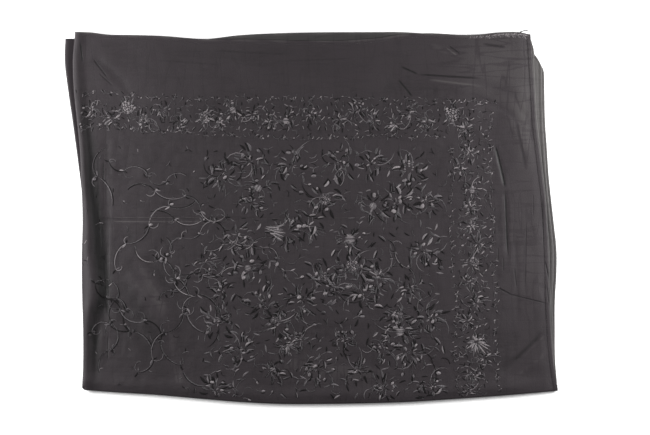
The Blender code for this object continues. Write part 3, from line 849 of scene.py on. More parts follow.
def bouquet(k, spread=24.0, leaves=13, knots=5, bundles=2, stems=3):
    """What stands round a blossom: leaves that bend away from it, light ones backed by a stroke of painted
    shade, knots between them, bundles of fine stems that lie side by side, and a few long bent stems."""
    draw = np.random.default_rng(9000 + k)
    angle = 360.0 * (np.arange(leaves) + draw.uniform(-0.45, 0.45, leaves)) / leaves + 29.0 * k
    x, y = polar(angle, spread * draw.uniform(0.2, 0.85, leaves))
    heading = angle + draw.normal(0, 38, leaves)
    length = draw.uniform(8.0, 16.0, leaves)
    turn = draw.choice((-1, 1), leaves) * draw.uniform(15, 75, leaves)
    width = length * draw.uniform(0.25, 0.37, leaves)
    tone = draw.permutation(np.resize(LEAF_TONES, leaves))
    light = in_columns(x, y, heading, length, width, turn, tone)
    x, y, heading, length, width, turn, tone = light[tone > 0.62].T
    aside_x, aside_y = polar(heading + 90.0, 0.62 * width * np.sign(turn))
    painted_shade_strokes = in_columns(x + aside_x, y + aside_y, heading, length, width - 0.8, turn, 0.07)
    buttons = knot(*polar(draw.uniform(0, 360, knots), spread * draw.uniform(0.2, 0.95, knots)),
                   draw.uniform(0, 180, knots), draw.uniform(3.8, 7.6, knots),
                   draw.uniform(0.55, 0.88, knots), draw.uniform(0.6, 0.98, knots),
                   draw.choice((-1.0, 1.0), knots))
    rows = [light, painted_shade_strokes, buttons]
    lines = 4
    for _ in range(bundles):
        base = 90.0 * draw.integers(4) + draw.normal(0, 12)
        x, y = np.array(polar(base, 0.45 * spread)) + draw.uniform(-6, 6, 2)
        beside_x, beside_y = polar(base + 90.0, 1.9 * (np.arange(lines) - 1.5))
        rows.append(in_columns(x + beside_x, y + beside_y, base + draw.uniform(-5, 5, lines),
                               draw.uniform(8, 18, lines), draw.uniform(1.1, 1.6, lines),
                               draw.uniform(-22, 22, lines), (0.62, 0.1, 0.56, 0.14)))
    base = draw.uniform(0, 360, stems)
    rows.append(in_columns(*polar(base, 4.0), base, draw.uniform(1.1, 1.9, stems) * spread, 1.9,
                           draw.choice((-1, 1), stems) * draw.uniform(50, 150, stems), (0.72, 0.2, 0.62)))
    return np.concatenate(rows)


def vine(k, arcs=4):
    """Scrolling vine: arcs that run on from one another and swing to the other side, each a lighter and a
    darker line side by side, painted highlight and painted shade, with a curl and two leaves where they meet
    and a knot at two ends."""
    draw = np.random.default_rng(9500 + k)
    side = side_of(k)
    x, y, heading = 0.0, 0.0, 80.0
    rows, ends = [], []
    for n in range(arcs):
        length, turn = draw.uniform(34.0, 60.0), side * draw.uniform(70.0, 125.0)
        start, bend = np.radians(heading), np.radians(turn)
        aside = 1.5 * side
        tone, beside = ((0.84, 0.12), (0.1, 0.46), (0.9, 0.12), (0.5, 0.12))[(n + k) % 4]
        rows.append((x, y, heading, length, 2.1, turn, tone))
        rows.append((x + aside * np.sin(start), y - aside * np.cos(start), heading, length, 1.5, turn,
                     beside))
        x += length * (np.sin(start + bend) - np.sin(start)) / bend
        y -= length * (np.cos(start + bend) - np.cos(start)) / bend
        heading += turn
        rows.append((x, y, heading + 30.0 * side, draw.uniform(16.0, 28.0), 1.7, 150.0 * side, 0.7))
        rows.append((x, y, heading - 70.0 * side, 10.0, 3.2, 34.0 * side, (0.84, 0.1)[n % 2]))
        rows.append((x, y, heading + 110.0 * side, 8.0, 2.6, -30.0 * side, (0.1, 0.62)[n % 2]))
        ends.append((x, y))
        side = -side
        heading += side * draw.uniform(5.0, 35.0)
    spots = np.array(ends).T + draw.uniform(-5, 5, (2, arcs))
    buttons = knot(*spots, draw.uniform(0, 180, arcs), draw.uniform(4.4, 7.4, arcs),
                   draw.uniform(0.55, 0.85, arcs), draw.uniform(0.62, 0.95, arcs),
                   np.array((1.0, -1.0, 1.0, -1.0)))
    return np.concatenate((stitch(*rows), buttons[[0, 1, 4, 5]]))


def place(rows, x, y, angle, size, lift=0.0):
    """A motif turned, sized and moved to its place."""
    turned = np.radians(angle)
    out = rows.copy()
    out[:, 0] = x + size * (rows[:, 0] * np.cos(turned) - rows[:, 1] * np.sin(turned))
    out[:, 1] = y + size * (rows[:, 0] * np.sin(turned) + rows[:, 1] * np.cos(turned))
    out[:, 2] += angle
    out[:, 3:5] *= size
    out[:, 6] += lift
    return out


def at(column, row):
    """Millimetres from a column and a row of the photo's pixels."""
    return (column - ZERO_COLUMN) * PIXEL, (ZERO_ROW - row) * PIXEL


def set_out(rows, n, column, row, size=0.8, lift=0.0, angle=None, grow=1.0, lighter=0.0):
    """A blossom at its place. One without an angle of its own is turned on with its number."""
    turned = 37.0 * n if angle is None else angle
    return place(rows, *at(column, row), turned, grow * size, lift + lighter)


# Hearts of the field's bouquets, roughly where the photo has them: column and row of its pixels,
# then where they differ from the usual size, lift of tone and angle.
HEARTS = {
    burst: [(250, 162), (292, 166), (252, 203, .9), (370, 163), (396, 203, .8, -.1), (222, 290),
            (302, 300), (335, 292), (410, 288, .9), (412, 352), (215, 390), (345, 340),
            (318, 368, .9, -.1), (225, 172, .6), (384, 388)],
    blossom: [(308, 226, 1.0, .1), (338, 162, .6), (238, 235, .8, .1), (262, 302), (218, 322, .8, .1),
              (272, 371), (364, 298), (430, 318, .8, .1), (358, 370), (424, 252, .7), (240, 350),
              (205, 262, .5), (432, 386, .7), (425, 200, .7, .1), (300, 340)],
    scales: [(325, 199, .95, .15), (352, 266, 1.05, .2), (397, 317, 1.1), (276, 321), (325, 277)],
    pompon: [(350, 239, 1.15, .12, 0), (373, 206, .8, 0, 60), (400, 331, 1.05, .1, 0),
             (258, 188, .8, 0, 60), (248, 268, .7, 0, 20)],
    shell: [(286, 233, 1.2, .05, 6)],
    chrysanthemum: [(288, 345, .9, 0, 20), (378, 276, .9, 0, 190)],
    berries: [(409, 169, 1.1, 0, 0), (382, 350, .9, 0, 30)],
}

# Vines of the plainer ground on the left and, smaller, of the field: column and row in pixels, angle,
# size, lift of tone.
VINES = [(112, 206, 0, 1.0, 0), (196, 200, 150, .9, 0), (136, 250, 200, .95, .05),
         (166, 238, 250, 1.0, .05), (196, 296, 100, .9, -.16), (104, 300, 300, .9, -.2),
         (152, 350, 20, .95, -.3), (100, 372, 30, .8, -.3), (184, 372, 210, .9, -.3),
         (128, 190, 330, .9, 0), (186, 176, 60, .8, -.1), (130, 330, 120, .85, -.25),
         (205, 250, 260, .7, -.05), (150, 212, 300, .8, 0), (240, 268, 80, .6, -.1),
         (318, 322, 140, .6, -.2), (298, 276, 40, .6, 0), (388, 240, 260, .6, 0),
         (246, 378, 120, .6, -.2), (432, 286, 200, .6, -.1), (340, 186, 320, .6, 0),
         (228, 214, 190, .6, 0), (98, 250, 90, .7, -.1), (160, 300, 10, .8, -.25)]

# Outer and inner row of sprigs of the border in pixels: along the top as column, outer row, inner
# row, and down the right side as row, outer column, inner column.
TOP_BORDER = np.array([(75, 92, 126), (104, 93, 127), (150, 96, 131), (195, 99, 133), (217, 99, 134),
                       (269, 98, 137), (364, 99, 136.5), (440, 101, 136), (492, 103, 136)], dtype=float)
RIGHT_BORDER = np.array([(103, 490, 452), (140, 490, 452), (170, 491, 451), (250, 493, 452),
                         (300, 495.5, 456), (346, 495.5, 455), (396, 499, 459)], dtype=float)

# Blossoms of the border: the kind, then the same columns.
BORDER_BLOSSOMS = [
    (blossom, 92, 110, .7, .1), (scales, 128, 107, 1.0, .2), (scales, 145, 119),
    (burst, 112, 118, .8, .05), (burst, 162, 110, .9, -.2), (burst, 180, 122, .8, -.2),
    (scales, 205, 117, .9, .1), (blossom, 220, 122, .8, .1), (pompon, 233, 110, .6, 0, 30),
    (burst, 252, 114, .8, -.1), (blossom, 270, 122, .75), (pompon, 286, 121, .6, .1, 0),
    (blossom, 311, 114, .8, .05), (burst, 340, 120), (blossom, 358, 110, .7),
    (burst, 374, 120, .8, .1), (spray, 396, 124, .8, .1, 80), (blossom, 410, 112, .7),
    (burst, 427, 122), (scales, 452, 115, 1.0, .15), (burst, 466, 128, .9, .1),
    (blossom, 470, 152, .9, .15), (burst, 461, 170), (pompon, 472, 190, .6, 0, 0),
    (burst, 470, 208, .9, .05), (blossom, 472, 226, .9, .15), (burst, 478, 244, .7),
    (scales, 474, 262, .7), (blossom, 470, 282), (burst, 476, 304, .8, .1),
    (spray, 468, 322, .7, 0, 200), (chrysanthemum, 476, 341, 1.25, .15, 0), (burst, 484, 358, .8, .05),
    (blossom, 474, 376, .9, .1), (burst, 468, 391, .7, -.05),
]


def border_path(side, share, along):
    """Point of a row of the border in plan: share 0 is the outer row and 1 the inner row."""
    table = TOP_BORDER if side == "top" else RIGHT_BORDER
    outer, inner = soft(table, 1, along), soft(table, 2, along)
    across = outer + (inner - outer) * share
    return at(along, across) if side == "top" else at(across, along)


def sprig_rows():
    """The narrow rows of sprigs either side of the border's blossoms."""
    draw = np.random.default_rng(1886)
    kinds = (twin, bud, comma, pair, bud, curl, blossom, comma)
    rows = []
    for side, start, stop, share in (("top", 76.0, 494, 0.0), ("top", 76.0, 444, 1.0),
                                     ("right", 112.0, 396, 0.0), ("right", 150.0, 396, 1.0)):
        base = 90.0 if side == "top" else 0.0
        along = start
        while along < stop:
            count = len(rows)
            x, y = border_path(side, share, along)
            kind = kinds[(count * 3 + count // 5) % len(kinds)]
            size = 0.42 + 0.12 * draw.random()
            angle = base + draw.uniform(-70, 70) + 180.0 * (count % 2)
            drift_x, drift_y = draw.uniform(-3.2, 3.2, 2)
            rows.append(place(kind(count), float(x) + drift_x, float(y) + drift_y, angle, size,
                              draw.uniform(-0.16, 0.1)))
            along += draw.uniform(3.4, 5.6)
    return np.concatenate(rows)


# How many places are tried when small motifs are scattered over a zone.
TRIES = 2600


def scatter(taken, columns, rows, pitch, kinds, sizes, seed):
    """Small motifs in the gaps of a zone of the photo, kept a pitch away from each other and from
    the places that are taken."""
    draw = np.random.default_rng(seed)
    left, high = at(columns[0], rows[0])
    right, low = at(columns[1], rows[1])
    spots = list(taken)
    motifs = []
    for n in range(TRIES):
        x, y = draw.uniform(left, right), draw.uniform(low, high)
        if np.min(np.hypot(*(np.array(spots) - (x, y)).T)) < pitch:
            continue
        spots.append((x, y))
        kind = kinds[draw.integers(len(kinds))]
        motifs.append(place(kind(n), x, y, draw.uniform(0, 360), draw.uniform(*sizes),
                            draw.uniform(-0.22, 0.12)))
    return np.concatenate(motifs)


def heart_rows():
    """Blossoms at the hearts of the field's bouquets."""
    spots = [(kind, spot) for kind, places in HEARTS.items() for spot in places]
    return np.concatenate([set_out(kind(n), n, *spot) for n, (kind, spot) in enumerate(spots)])


def bouquet_rows(centres):
    """Leaves, knots and stems round every heart, those of every third one smaller."""
    return np.concatenate([place(bouquet(n), x, y, 0.0, 1.0 - 0.25 * (n % 3 == 2))
                           for n, (x, y) in enumerate(centres)])


def vine_rows():
    """Scrolling vines, kept below the border's top and to the left of its right side."""
    rows = np.concatenate([place(vine(n), *at(column, row), angle, size, lift)
                           for n, (column, row, angle, size, lift) in enumerate(VINES)])
    right, high = at(440, 150)
    return rows[(rows[:, 0] < right) & (rows[:, 1] < high)]


def filler_rows(centres):
    """Small leaves, buds and tendrils in the gaps of the field, and a few over the left ground."""
    kinds = (comma, twin, wisp, comma, curl, bud, pair, comma)
    return np.concatenate((scatter(centres, (206, 442), (149, 399), 11.0, kinds, (0.6, 1.25), 21),
                           scatter(centres, (86, 206), (149, 399), 24.0, kinds, (0.4, 0.7), 22)))


def border_rows(centres):
    """Blossoms of the border with their leaves, and the small motifs between them."""
    rows = []
    taken = list(centres)
    for n, (kind, *spot) in enumerate(BORDER_BLOSSOMS):
        rows.append(set_out(kind(n + 60), n, *spot, grow=1.12, lighter=0.08))
        taken.append(at(*spot[:2]))
        rows.append(place(bouquet(n + 60, 20.0, 9, 4, 1), *taken[-1], 0.0, 0.66, 0.04))
    kinds = (comma, twin, bud, curl, pair, comma)
    for columns, band, seed in (((78, 486), (104, 131), 31), ((459, 487), (132, 396), 32)):
        rows.append(scatter(taken, columns, band, 7.0, kinds, (0.45, 0.7), seed))
    return np.concatenate(rows)


def hem_rows():
    """Running stitches along the two hems of the front ply, and whipping near the corner."""
    pitch = 3.4
    y = np.arange(-250.0, 268.0, pitch)
    rows = [in_columns(right_edge(y) - HEM_WIDTH + 0.5, y, 90.0, 2.1, 0.7, 0.0, 0.5)]
    x = np.arange(-346.0, 320.0, pitch)
    rows.append(in_columns(x, top_edge(x) - HEM_WIDTH + 0.5, 0.0, 2.1, 0.7, 0.0, 0.5))
    for start, drop, lean in ((238.0, 6.0, 66.0), (262.0, 8.4, 118.0), (270.0, 4.2, 24.0)):
        x = np.arange(start, 326.0, 2.1)
        rows.append(in_columns(x, top_edge(x) - drop, lean + 9.0 * np.sin(1.7 * x), 4.6 + 0.8 * np.sin(x),
                               1.1, 0.0, 0.82 + 0.16 * np.sin(2.3 * x)))
    return np.concatenate(rows)


# Cross section of a satin pad: share of its half width, then share of its height or, where that is
# negative, how far its edge is sunk into the cloth.
PAD = np.array([(-1.0, -0.35), (-0.66, 0.74), (0.0, 1.0), (0.66, 0.74), (1.0, -0.35)])


def on_front(rows):
    """Which stitches start and end on the front ply."""
    kept = np.ones(len(rows), dtype=bool)
    for share in (0.0, 0.5, 1.0):
        turned = np.radians(rows[:, 2] + 0.5 * share * rows[:, 5])
        x = rows[:, 0] + share * rows[:, 3] * np.cos(turned)
        y = rows[:, 1] + share * rows[:, 3] * np.sin(turned)
        kept &= (x > left_edge(y) + 1.0) & (x < right_edge(y) - 1.0)
        kept &= (y > bottom_edge(x) + 1.5) & (y < top_edge(x) - 0.8)
    return kept


def pad_points(rows, stations, padding):
    """Points of satin pads: an arc whose half width is a power of a sine along it, with a domed
    cross section, laid on the cloth, and a point at each tip. Also the stations' shares of it."""
    x0, y0, heading, length, width, turn = rows.T[:6, :, None]
    start = np.radians(heading)
    bend = np.radians(turn)
    bend = np.where(np.abs(bend) < 1e-3, 1e-3, bend)
    t = 0.5 - 0.5 * np.cos(np.pi * (np.arange(stations) + 0.6) / (stations + 0.2))
    whole = np.concatenate(([0.0], t, [1.0]))[None, :]
    angle = start + bend * whole
    mid_x = x0 + length * (np.sin(angle) - np.sin(start)) / bend
    mid_y = y0 - length * (np.cos(angle) - np.cos(start)) / bend
    blunt = np.where(width / length > 0.6, 0.5, np.where(width < 1.9, 0.3, 0.8))
    half = 0.5 * width * np.sin(np.pi * np.clip(whole, 0.02, 0.98) ** 0.92) ** blunt
    high = (0.22 + padding * 0.5 * np.sqrt(width)) * (half / half.max(axis=1, keepdims=True)) ** 0.6
    across = PAD[:, 0] * half[:, 1:-1, None]
    px = mid_x[:, 1:-1, None] - np.sin(angle)[:, 1:-1, None] * across
    py = mid_y[:, 1:-1, None] + np.cos(angle)[:, 1:-1, None] * across
    up = np.where(PAD[:, 1] < 0, PAD[:, 1], PAD[:, 1] * high[:, 1:-1, None])
    ring = np.stack((px, py, np.broadcast_to(up, px.shape)), -1).reshape(len(rows), -1, 3)
    ends = np.stack((mid_x[:, [0, -1]], mid_y[:, [0, -1]], np.full((len(rows), 2), -0.1)), -1)
    points = np.concatenate((ring, ends), axis=1)
    x = np.clip(points[..., 0], left_edge(points[..., 1]) + 0.4, right_edge(points[..., 1]) - 0.4)
    y = np.clip(points[..., 1], bottom_edge(x) + 0.4, top_edge(x) - 0.1)
    return np.stack((x, y, points[..., 2] + silk_height(x, y)), -1), t


def tube_faces(stations, sides):
    """Triangles of a closed tube: walls round it from station to station, and a fan at each tip."""
    tips = stations * sides
    k, s = np.meshgrid(np.arange(stations - 1), np.arange(sides), indexing="ij")
    a = (k * sides + s).ravel()
    b = (k * sides + (s + 1) % sides).ravel()
    s = np.arange(sides)
    last = tips - sides
    tip = np.stack((np.full(sides, tips), s, (s + 1) % sides), -1)
    end = np.stack((np.full(sides, tips + 1), last + (s + 1) % sides, last + s), -1)
    return (np.stack((a, a + sides, b + sides), -1), np.stack((a, b + sides, b), -1),
            np.concatenate((tip, end)))


def sew(name, rows, stations, flosses, padding=0.34):
    """Satin stitch as one mesh of pads, with the thread's direction as its UV map and its tone as an
    attribute: how light a stitch is painted, as painted sheen and shade, with a little painted sheen for the
    way that its heading lies to the light.
    The darkest, in painted shade, take the second floss, darker and matt."""
    rows = rows[on_front(rows)]
    jitter = np.random.default_rng(len(rows))
    points, t = pad_points(rows, stations, padding)
    per = points.shape[1]
    shift = (np.arange(len(rows)) * per)[:, None, None]
    parts = tube_faces(stations, len(PAD))
    faces = np.concatenate([(part + shift).reshape(-1, 3) for part in parts])
    piece = new_mesh(name, points, faces, flosses[0])

    mesh = piece.data
    heading, length, width, turn, tone = rows.T[2:]
    u = np.append(np.repeat(t, len(PAD)), (0.0, 1.0)) * length[:, None]
    v = np.append(np.tile(PAD[:, 0], stations), (0.0, 0.0)) * 0.5 * width[:, None]
    flat = np.stack((u.ravel() * MM, v.ravel() * MM), -1)
    layer = mesh.uv_layers.new(name="thread")
    layer.data.foreach_set("uv", flat[faces.ravel()].astype(np.float32).ravel())
    # Painted sheen: each stitch is painted lighter at some headings and darker at others, as if lit from one
    # fixed direction, with a little at random.
    lie = 0.12 * np.cos(2 * (np.radians(heading + 0.5 * turn) - 0.6)) + jitter.normal(0, 0.09, len(rows))
    tone = np.clip(tone + lie, 0.02, 1.0)
    mesh.materials.append(flosses[1])
    dark_faces = np.concatenate([np.repeat(tone < 0.24, len(part)) for part in parts])
    mesh.polygons.foreach_set("material_index", dark_faces.astype(np.int32))
    store = mesh.attributes.new("tone", "FLOAT", "POINT")
    store.data.foreach_set("value", np.repeat(tone, per).astype(np.float32))
    return piece


def loose_thread(material, sides=8, radius=0.8):
    """Thread end that has worked out of the hem at the top right corner: a round section
    carried along a curve that bends over itself."""
    t = np.linspace(0, 1, 26)
    path = np.stack((311.0 + 14.4 * t + 1.0 * np.sin(7 * t),
                     275.0 + 4.4 * np.sin(2.4 * t) + 0.6 * np.sin(9 * t),
                     7.4 - 2.0 * t + 0.8 * np.sin(3.1 * t)), -1)
    along = np.gradient(path, axis=0)
    along /= np.linalg.norm(along, axis=1, keepdims=True)
    side = np.cross(along, (0.0, 0.0, 1.0))
    side /= np.linalg.norm(side, axis=1, keepdims=True)
    up = np.cross(side, along)
    turn = np.linspace(0, 2 * np.pi, sides + 1)[:-1]
    ring = (path[:, None] + radius * (np.cos(turn)[None, :, None] * side[:, None]
                                      + np.sin(turn)[None, :, None] * up[:, None]))
    points = np.concatenate((ring.reshape(-1, 3), path[[0, -1]]))
    return new_mesh("loose_thread", points, np.concatenate(tube_faces(len(t), sides)), material)


# Materials

def shade(hex_colour):
    """sRGB hex to linear colour with alpha."""
    parts = [int(hex_colour[k:k + 2], 16) / 255 for k in (1, 3, 5)]
    return (*[c / 12.92 if c <= 0.04045 else ((c + 0.055) / 1.055) ** 2.4 for c in parts], 1.0)


def node(tree, kind, inputs=None, **settings):
    """Adds a node, sets its settings, and sets or links its inputs."""
    made = tree.nodes.new(kind)
    for key, value in settings.items():
        setattr(made, key, value)
    for key, value in (inputs or {}).items():
        if isinstance(value, bpy.types.NodeSocket):
            tree.links.new(value, made.inputs[key])
        else:
            made.inputs[key].default_value = value
    return made


def blank(name):
    """A new material with its tree emptied down to the output."""
    material = bpy.data.materials.new(name)
    material.use_nodes = True
    tree = material.node_tree
    tree.nodes.clear()
    return material, tree, node(tree, "ShaderNodeOutputMaterial")


def sharp_creases(tree, place_on, creases):
    """Sum over thin creases of a bell across each one times a fade towards its two ends, in mm: how much
    lighter the crepe is painted along them, painted highlight where positive and painted shade where
    negative.
    Each crease holds only two values at a time, because a shader has room for about 250."""
    in_mm = node(tree, "ShaderNodeVectorMath", {0: place_on, 1: (1 / MM, 1 / MM, 1 / MM)},
                 operation="MULTIPLY")
    total = 0.0
    for x1, y1, x2, y2, half, painted_lightness in creases:
        length = float(np.hypot(x2 - x1, y2 - y1))
        ax, ay = (x2 - x1) / length, (y2 - y1) / length
        middle_x, middle_y = 0.5 * (x1 + x2), 0.5 * (y1 + y2) + SHIFT_Y
        parts = []
        for way, low, high, most in (((-ay, ax, 0.0), half, 0.0, painted_lightness),
                                     ((ax, ay, 0.0), 0.5 * length, 0.3 * length, 1.0)):
            dot = node(tree, "ShaderNodeVectorMath", {0: in_mm.outputs["Vector"], 1: way},
                       operation="DOT_PRODUCT")
            off = node(tree, "ShaderNodeMath", {0: dot.outputs["Value"],
                                                1: middle_x * way[0] + middle_y * way[1]},
                       operation="SUBTRACT")
            away = node(tree, "ShaderNodeMath", {0: off.outputs[0]}, operation="ABSOLUTE")
            parts.append(node(tree, "ShaderNodeMapRange",
                              {"Value": away.outputs[0], "From Min": low, "From Max": high, "To Max": most},
                              interpolation_type="SMOOTHSTEP"))
        total = node(tree, "ShaderNodeMath", {0: parts[0].outputs[0], 1: parts[1].outputs[0], 2: total},
                     operation="MULTIPLY_ADD").outputs[0]
    return total


def wandering_creases(tree, place_on):
    """Fine creases from storage: the lines where noise drawn out along one side, then along the
    other, passes through its middle value. They are 1 to 2 mm wide and run for 5 to 15 cm."""
    total = 0.0
    for stretch in ((7.0, 52.0, 1.0), (46.0, 6.0, 1.0)):
        drawn = node(tree, "ShaderNodeVectorMath", {0: place_on, 1: stretch}, operation="MULTIPLY")
        field = node(tree, "ShaderNodeTexNoise",
                     {"Vector": drawn.outputs["Vector"], "Scale": 1.0, "Detail": 2.0})
        off = node(tree, "ShaderNodeMath", {0: field.outputs["Fac"], 1: 0.5}, operation="SUBTRACT")
        away = node(tree, "ShaderNodeMath", {0: off.outputs[0]}, operation="ABSOLUTE")
        line = node(tree, "ShaderNodeMapRange",
                    {"Value": away.outputs[0], "From Min": 0.035, "From Max": 0.0},
                    interpolation_type="SMOOTHSTEP")
        total = node(tree, "ShaderNodeMath", {0: line.outputs[0], 1: total}, operation="ADD").outputs[0]
    return total


# Colours that the crepe is mixed towards: a painted highlight where it is painted lighter, which also takes
# its pale hem line, and painted shade where it is painted darker.
PAINTED_HIGHLIGHT = "#5a5756"
PAINTED_SHADE = "#0c0a0b"


def silk_crepe(name, dark, light, creases=()):
    """Silk crepe: hard-twisted filament woven plain, so its face is pebbled and dull, with a low
    bloom of light at grazing angles. Real threads are 0.3 mm apart; drawn at 0.9 mm to show.
    It is painted lighter, as a painted highlight, where its shading attribute, which also holds a pale hem
    line, is high and along its sharp creases, and painted darker, as painted shade, where these go negative."""
    material, tree, out = blank(name)
    place_on = node(tree, "ShaderNodeTexCoord").outputs["Object"]
    drift = node(tree, "ShaderNodeTexNoise", {"Vector": place_on, "Scale": 9.0, "Detail": 3.0})
    pebble = node(tree, "ShaderNodeTexNoise", {"Vector": place_on, "Scale": 620.0, "Detail": 2.0})
    warp = node(tree, "ShaderNodeTexWave", {"Vector": place_on, "Scale": 350.0, "Distortion": 1.5},
                bands_direction="X")
    weft = node(tree, "ShaderNodeTexWave", {"Vector": place_on, "Scale": 350.0, "Distortion": 1.5},
                bands_direction="Y")
    weave = node(tree, "ShaderNodeMath", {0: warp.outputs["Fac"], 1: weft.outputs["Fac"]},
                 operation="MULTIPLY")
    mottle = node(tree, "ShaderNodeMath", {0: drift.outputs["Fac"], 1: pebble.outputs["Fac"]},
                  operation="ADD")
    tint = node(tree, "ShaderNodeMapRange", {"Value": mottle.outputs[0], "From Min": 0.6, "From Max": 1.4})
    colour = node(tree, "ShaderNodeMix", {"Factor": tint.outputs["Result"], "A": shade(dark),
                                          "B": shade(light)}, data_type="RGBA")
    relief = node(tree, "ShaderNodeMath", {0: weave.outputs[0], 1: 0.5, 2: pebble.outputs["Fac"]},
                  operation="MULTIPLY_ADD")
    bump = node(tree, "ShaderNodeBump", {"Height": relief.outputs[0], "Strength": 0.5, "Distance": 0.0004})
    crease_sum = sharp_creases(tree, place_on, creases)
    painted_shading_input = node(tree, "ShaderNodeAttribute", attribute_name="painted_shading_and_hem_line")
    # Along the creases the crepe is bumped and painted: painted highlight on their lit sides, painted shade
    # in them, and the fine creases a little darker.
    crease_bump_and_shade = node(tree, "ShaderNodeMath", {0: wandering_creases(tree, place_on), 1: -0.15, 2: crease_sum},
                   operation="MULTIPLY_ADD").outputs[0]
    painted_lightness = node(tree, "ShaderNodeMath", {0: crease_bump_and_shade, 1: painted_shading_input.outputs["Fac"]}, operation="ADD")
    painted_darkness = node(tree, "ShaderNodeMath", {0: painted_lightness.outputs[0], 1: -0.75}, operation="MULTIPLY")
    colour = node(tree, "ShaderNodeMix", {"Factor": painted_lightness.outputs[0], "A": colour.outputs["Result"],
                                          "B": shade(PAINTED_HIGHLIGHT)}, data_type="RGBA")
    colour = node(tree, "ShaderNodeMix", {"Factor": painted_darkness.outputs[0], "A": colour.outputs["Result"],
                                          "B": shade(PAINTED_SHADE)}, data_type="RGBA")
    bump = node(tree, "ShaderNodeBump", {"Height": crease_bump_and_shade, "Strength": 0.6, "Distance": 0.0006,
                                         "Normal": bump.outputs["Normal"]})
    cloth = node(tree, "ShaderNodeBsdfPrincipled", {
        "Base Color": colour.outputs["Result"], "Normal": bump.outputs["Normal"], "Roughness": 0.58,
        "IOR": 1.54, "Specular IOR Level": 0.22, "Sheen Weight": 0.04, "Sheen Roughness": 0.4})
    tree.links.new(cloth.outputs[0], out.inputs["Surface"])
    return material


def floss_silk(name, stops, rough, gloss):
    """Floss silk: untwisted filament laid side by side in satin stitch, so it is glossy along one
    direction and its threads show as fine grooves, 0.45 mm apart. Its tone is the attribute's, painted sheen
    and painted shade."""
    material, tree, out = blank(name)
    lie = node(tree, "ShaderNodeUVMap", uv_map="thread")
    tone = node(tree, "ShaderNodeAttribute", attribute_name="tone")
    ramp = node(tree, "ShaderNodeValToRGB", {"Fac": tone.outputs["Fac"]})
    marks = ramp.color_ramp.elements
    for mark, (position, colour) in zip(marks, (stops[0], stops[-1])):
        mark.position = position
        mark.color = shade(colour)
    for position, colour in stops[1:-1]:
        marks.new(position).color = shade(colour)
    threads = node(tree, "ShaderNodeTexWave", {"Vector": lie.outputs["UV"], "Scale": 700.0,
                                               "Distortion": 0.8, "Detail": 1.0}, bands_direction="X")
    streak = node(tree, "ShaderNodeMapRange",
                  {"Value": threads.outputs["Fac"], "To Min": 0.72, "To Max": 1.1})
    colour = node(tree, "ShaderNodeVectorMath", {0: ramp.outputs["Color"], "Scale": streak.outputs["Result"]},
                  operation="SCALE")
    bump = node(tree, "ShaderNodeBump",
                {"Height": threads.outputs["Fac"], "Strength": 0.5, "Distance": 0.0002})
    lay = node(tree, "ShaderNodeTangent", direction_type="UV_MAP", uv_map="thread")
    thread = node(tree, "ShaderNodeBsdfPrincipled", {
        "Base Color": colour.outputs["Vector"], "Normal": bump.outputs["Normal"],
        "Tangent": lay.outputs["Tangent"], "Roughness": rough, "IOR": 1.54, "Specular IOR Level": gloss,
        "Anisotropic": 0.6, "Anisotropic Rotation": 0.25, "Sheen Weight": 0.04, "Sheen Roughness": 0.3})
    tree.links.new(thread.outputs[0], out.inputs["Surface"])
    return material


def plain_paper(name, colour):
    """Matt white paper sweep with a little light through it, so that shadows on it stay pale."""
    material, tree, out = blank(name)
    paper = node(tree, "ShaderNodeBsdfPrincipled", {"Base Color": shade(colour), "Roughness": 0.9,
                                                    "Specular IOR Level": 0.1, "Emission Strength": 0.25,
                                                    "Emission Color": shade(colour)})
    tree.links.new(paper.outputs[0], out.inputs["Surface"])
    return material


# The shawl

crepe = silk_crepe("black silk crepe, woven", "#272225", "#2e292c", SHARP_CREASES)
# The under-plies are the same black crepe as the front, coloured lighter as painted light on their edges; the
# loose thread takes it too.
under_crepe_painted_lighter = silk_crepe("black silk crepe, under-ply, painted lighter", "#3a3838", "#444242")
# Both flosses are the same black silk: the first's ramp runs up to grey as painted sheen, and the second is a
# darker, matt copy for stitches in painted shade.
flosses = (
    floss_silk("black floss silk, satin stitched", [(0.0, "#151214"), (0.35, "#282427"), (0.6, "#393538"),
                                                    (0.8, "#534e51"), (1.0, "#7a7476")], 0.4, 0.3),
    floss_silk("black floss silk, darker and matt, for painted shade",
               [(0.0, "#141213"), (0.5, "#1d1a1b"), (1.0, "#262324")], 0.7, 0.1))

surface = front_surface(pitch=3.2, roll_steps=12)
front = sheet_piece("front_silk", surface, crepe)
set_painted_shading(front, painted_shading_and_hem_line(surface[..., 0], surface[..., 1]))

# Under-plies: name, share of the stack's height, how far in from the left and the bottom fold
# they start, and the radius of their top right corner.
under_plies = []
for ply, (name, *shape) in enumerate((
        ("second_ply_silk", 0.99, 9.6, 5.2, 4.0), ("third_ply_silk", 0.66, 9.9, 5.2, 8.0),
        ("fourth_ply_silk", 0.32, 9.9, 9.8, 8.0)), start=1):
    surface = under_ply(ply, *shape)
    under_plies.append(sheet_piece(name, surface, under_crepe_painted_lighter))
    set_painted_shading(under_plies[-1], under_painted_shading_and_hem_line(surface[..., 0], surface[..., 1], ply))
second, third, fourth = under_plies
rear = sheet_piece("rear_fold_silk", rear_fold_surface(), crepe)

centres = [at(column, row) for places in HEARTS.values() for column, row, *_ in places]
field = sew("field_blossoms", heart_rows(), 6, flosses)
leaves = sew("bouquet_leaves", bouquet_rows(centres), 7, flosses)
wisps = sew("small_leaves", filler_rows(centres), 6, flosses)
border = sew("border_blossoms", border_rows(centres), 6, flosses)
sprigs = sew("border_sprigs", sprig_rows(), 5, flosses)
scrolls = sew("scrolling_vines", vine_rows(), 20, flosses)
hems = sew("hem_stitches", hem_rows(), 4, flosses, padding=0.1)
thread = loose_thread(under_crepe_painted_lighter)

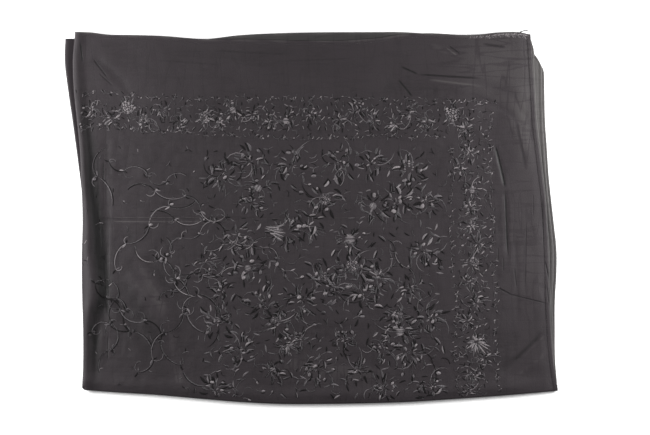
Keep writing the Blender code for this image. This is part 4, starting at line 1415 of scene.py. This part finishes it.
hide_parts("front_ply")
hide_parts("folded_plies")
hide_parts("folded_plies")
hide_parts("folded_plies")
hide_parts("rear_fold")
for piece in (front, second, third, fourth, rear, field, leaves, wisps, border, sprigs, scrolls, hems,
              thread):
    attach(piece, "root")

# Floor, light and camera, in metres, with the sensor's width in millimetres

# The floor lies a little under the shawl, so that no face of it is flush with the paper.
FLOOR_GAP = 0.0006
CAMERA_HEIGHT = 3.0
CLOTH_TOP = 0.003
SENSOR = 36.0
PHOTO_WIDTH = 650 * PIXEL * MM
PHOTO_MIDDLE = at(325.0, 217.5)

bpy.ops.mesh.primitive_plane_add(size=8.0, location=(0.0, 0.0, -FLOOR_GAP))
floor = bpy.context.object
floor.name = "paper_floor"
floor.data.materials.append(plain_paper("white paper sweep", "#f6f6f6"))


def softbox(name, spot, aim, size, power):
    """Square area light turned towards a point."""
    data = bpy.data.lights.new(name, "AREA")
    data.size = size
    data.energy = power
    lamp = bpy.data.objects.new(name, data)
    lamp.location = spot
    lamp.rotation_euler = (Vector(aim) - Vector(spot)).to_track_quat("-Z", "Y").to_euler()
    bpy.context.scene.collection.objects.link(lamp)


softbox("left softbox", (-1.15, 0.2, 0.5), (-0.1, 0.0, 0.0), 0.6, 30.0)
softbox("right softbox", (1.08, 0.2, 0.42), (0.1, 0.03, 0.0), 0.5, 24.5)
world = bpy.data.worlds.new("studio")
world.use_nodes = True
sky = world.node_tree.nodes["Background"].inputs
sky["Color"].default_value = (1.0, 1.0, 1.0, 1.0)
sky["Strength"].default_value = 0.05
bpy.context.scene.world = world
bpy.context.scene.view_settings.view_transform = "Standard"

# The camera looks straight down on the middle of the photo and takes in its width at the cloth.
lens = bpy.data.cameras.new("photo")
lens.sensor_width = SENSOR
lens.lens = SENSOR * (CAMERA_HEIGHT - CLOTH_TOP) / PHOTO_WIDTH
camera = bpy.data.objects.new("photo", lens)
camera.location = (PHOTO_MIDDLE[0] * MM, (PHOTO_MIDDLE[1] + SHIFT_Y) * MM, CAMERA_HEIGHT)
bpy.context.scene.collection.objects.link(camera)
bpy.context.scene.camera = camera
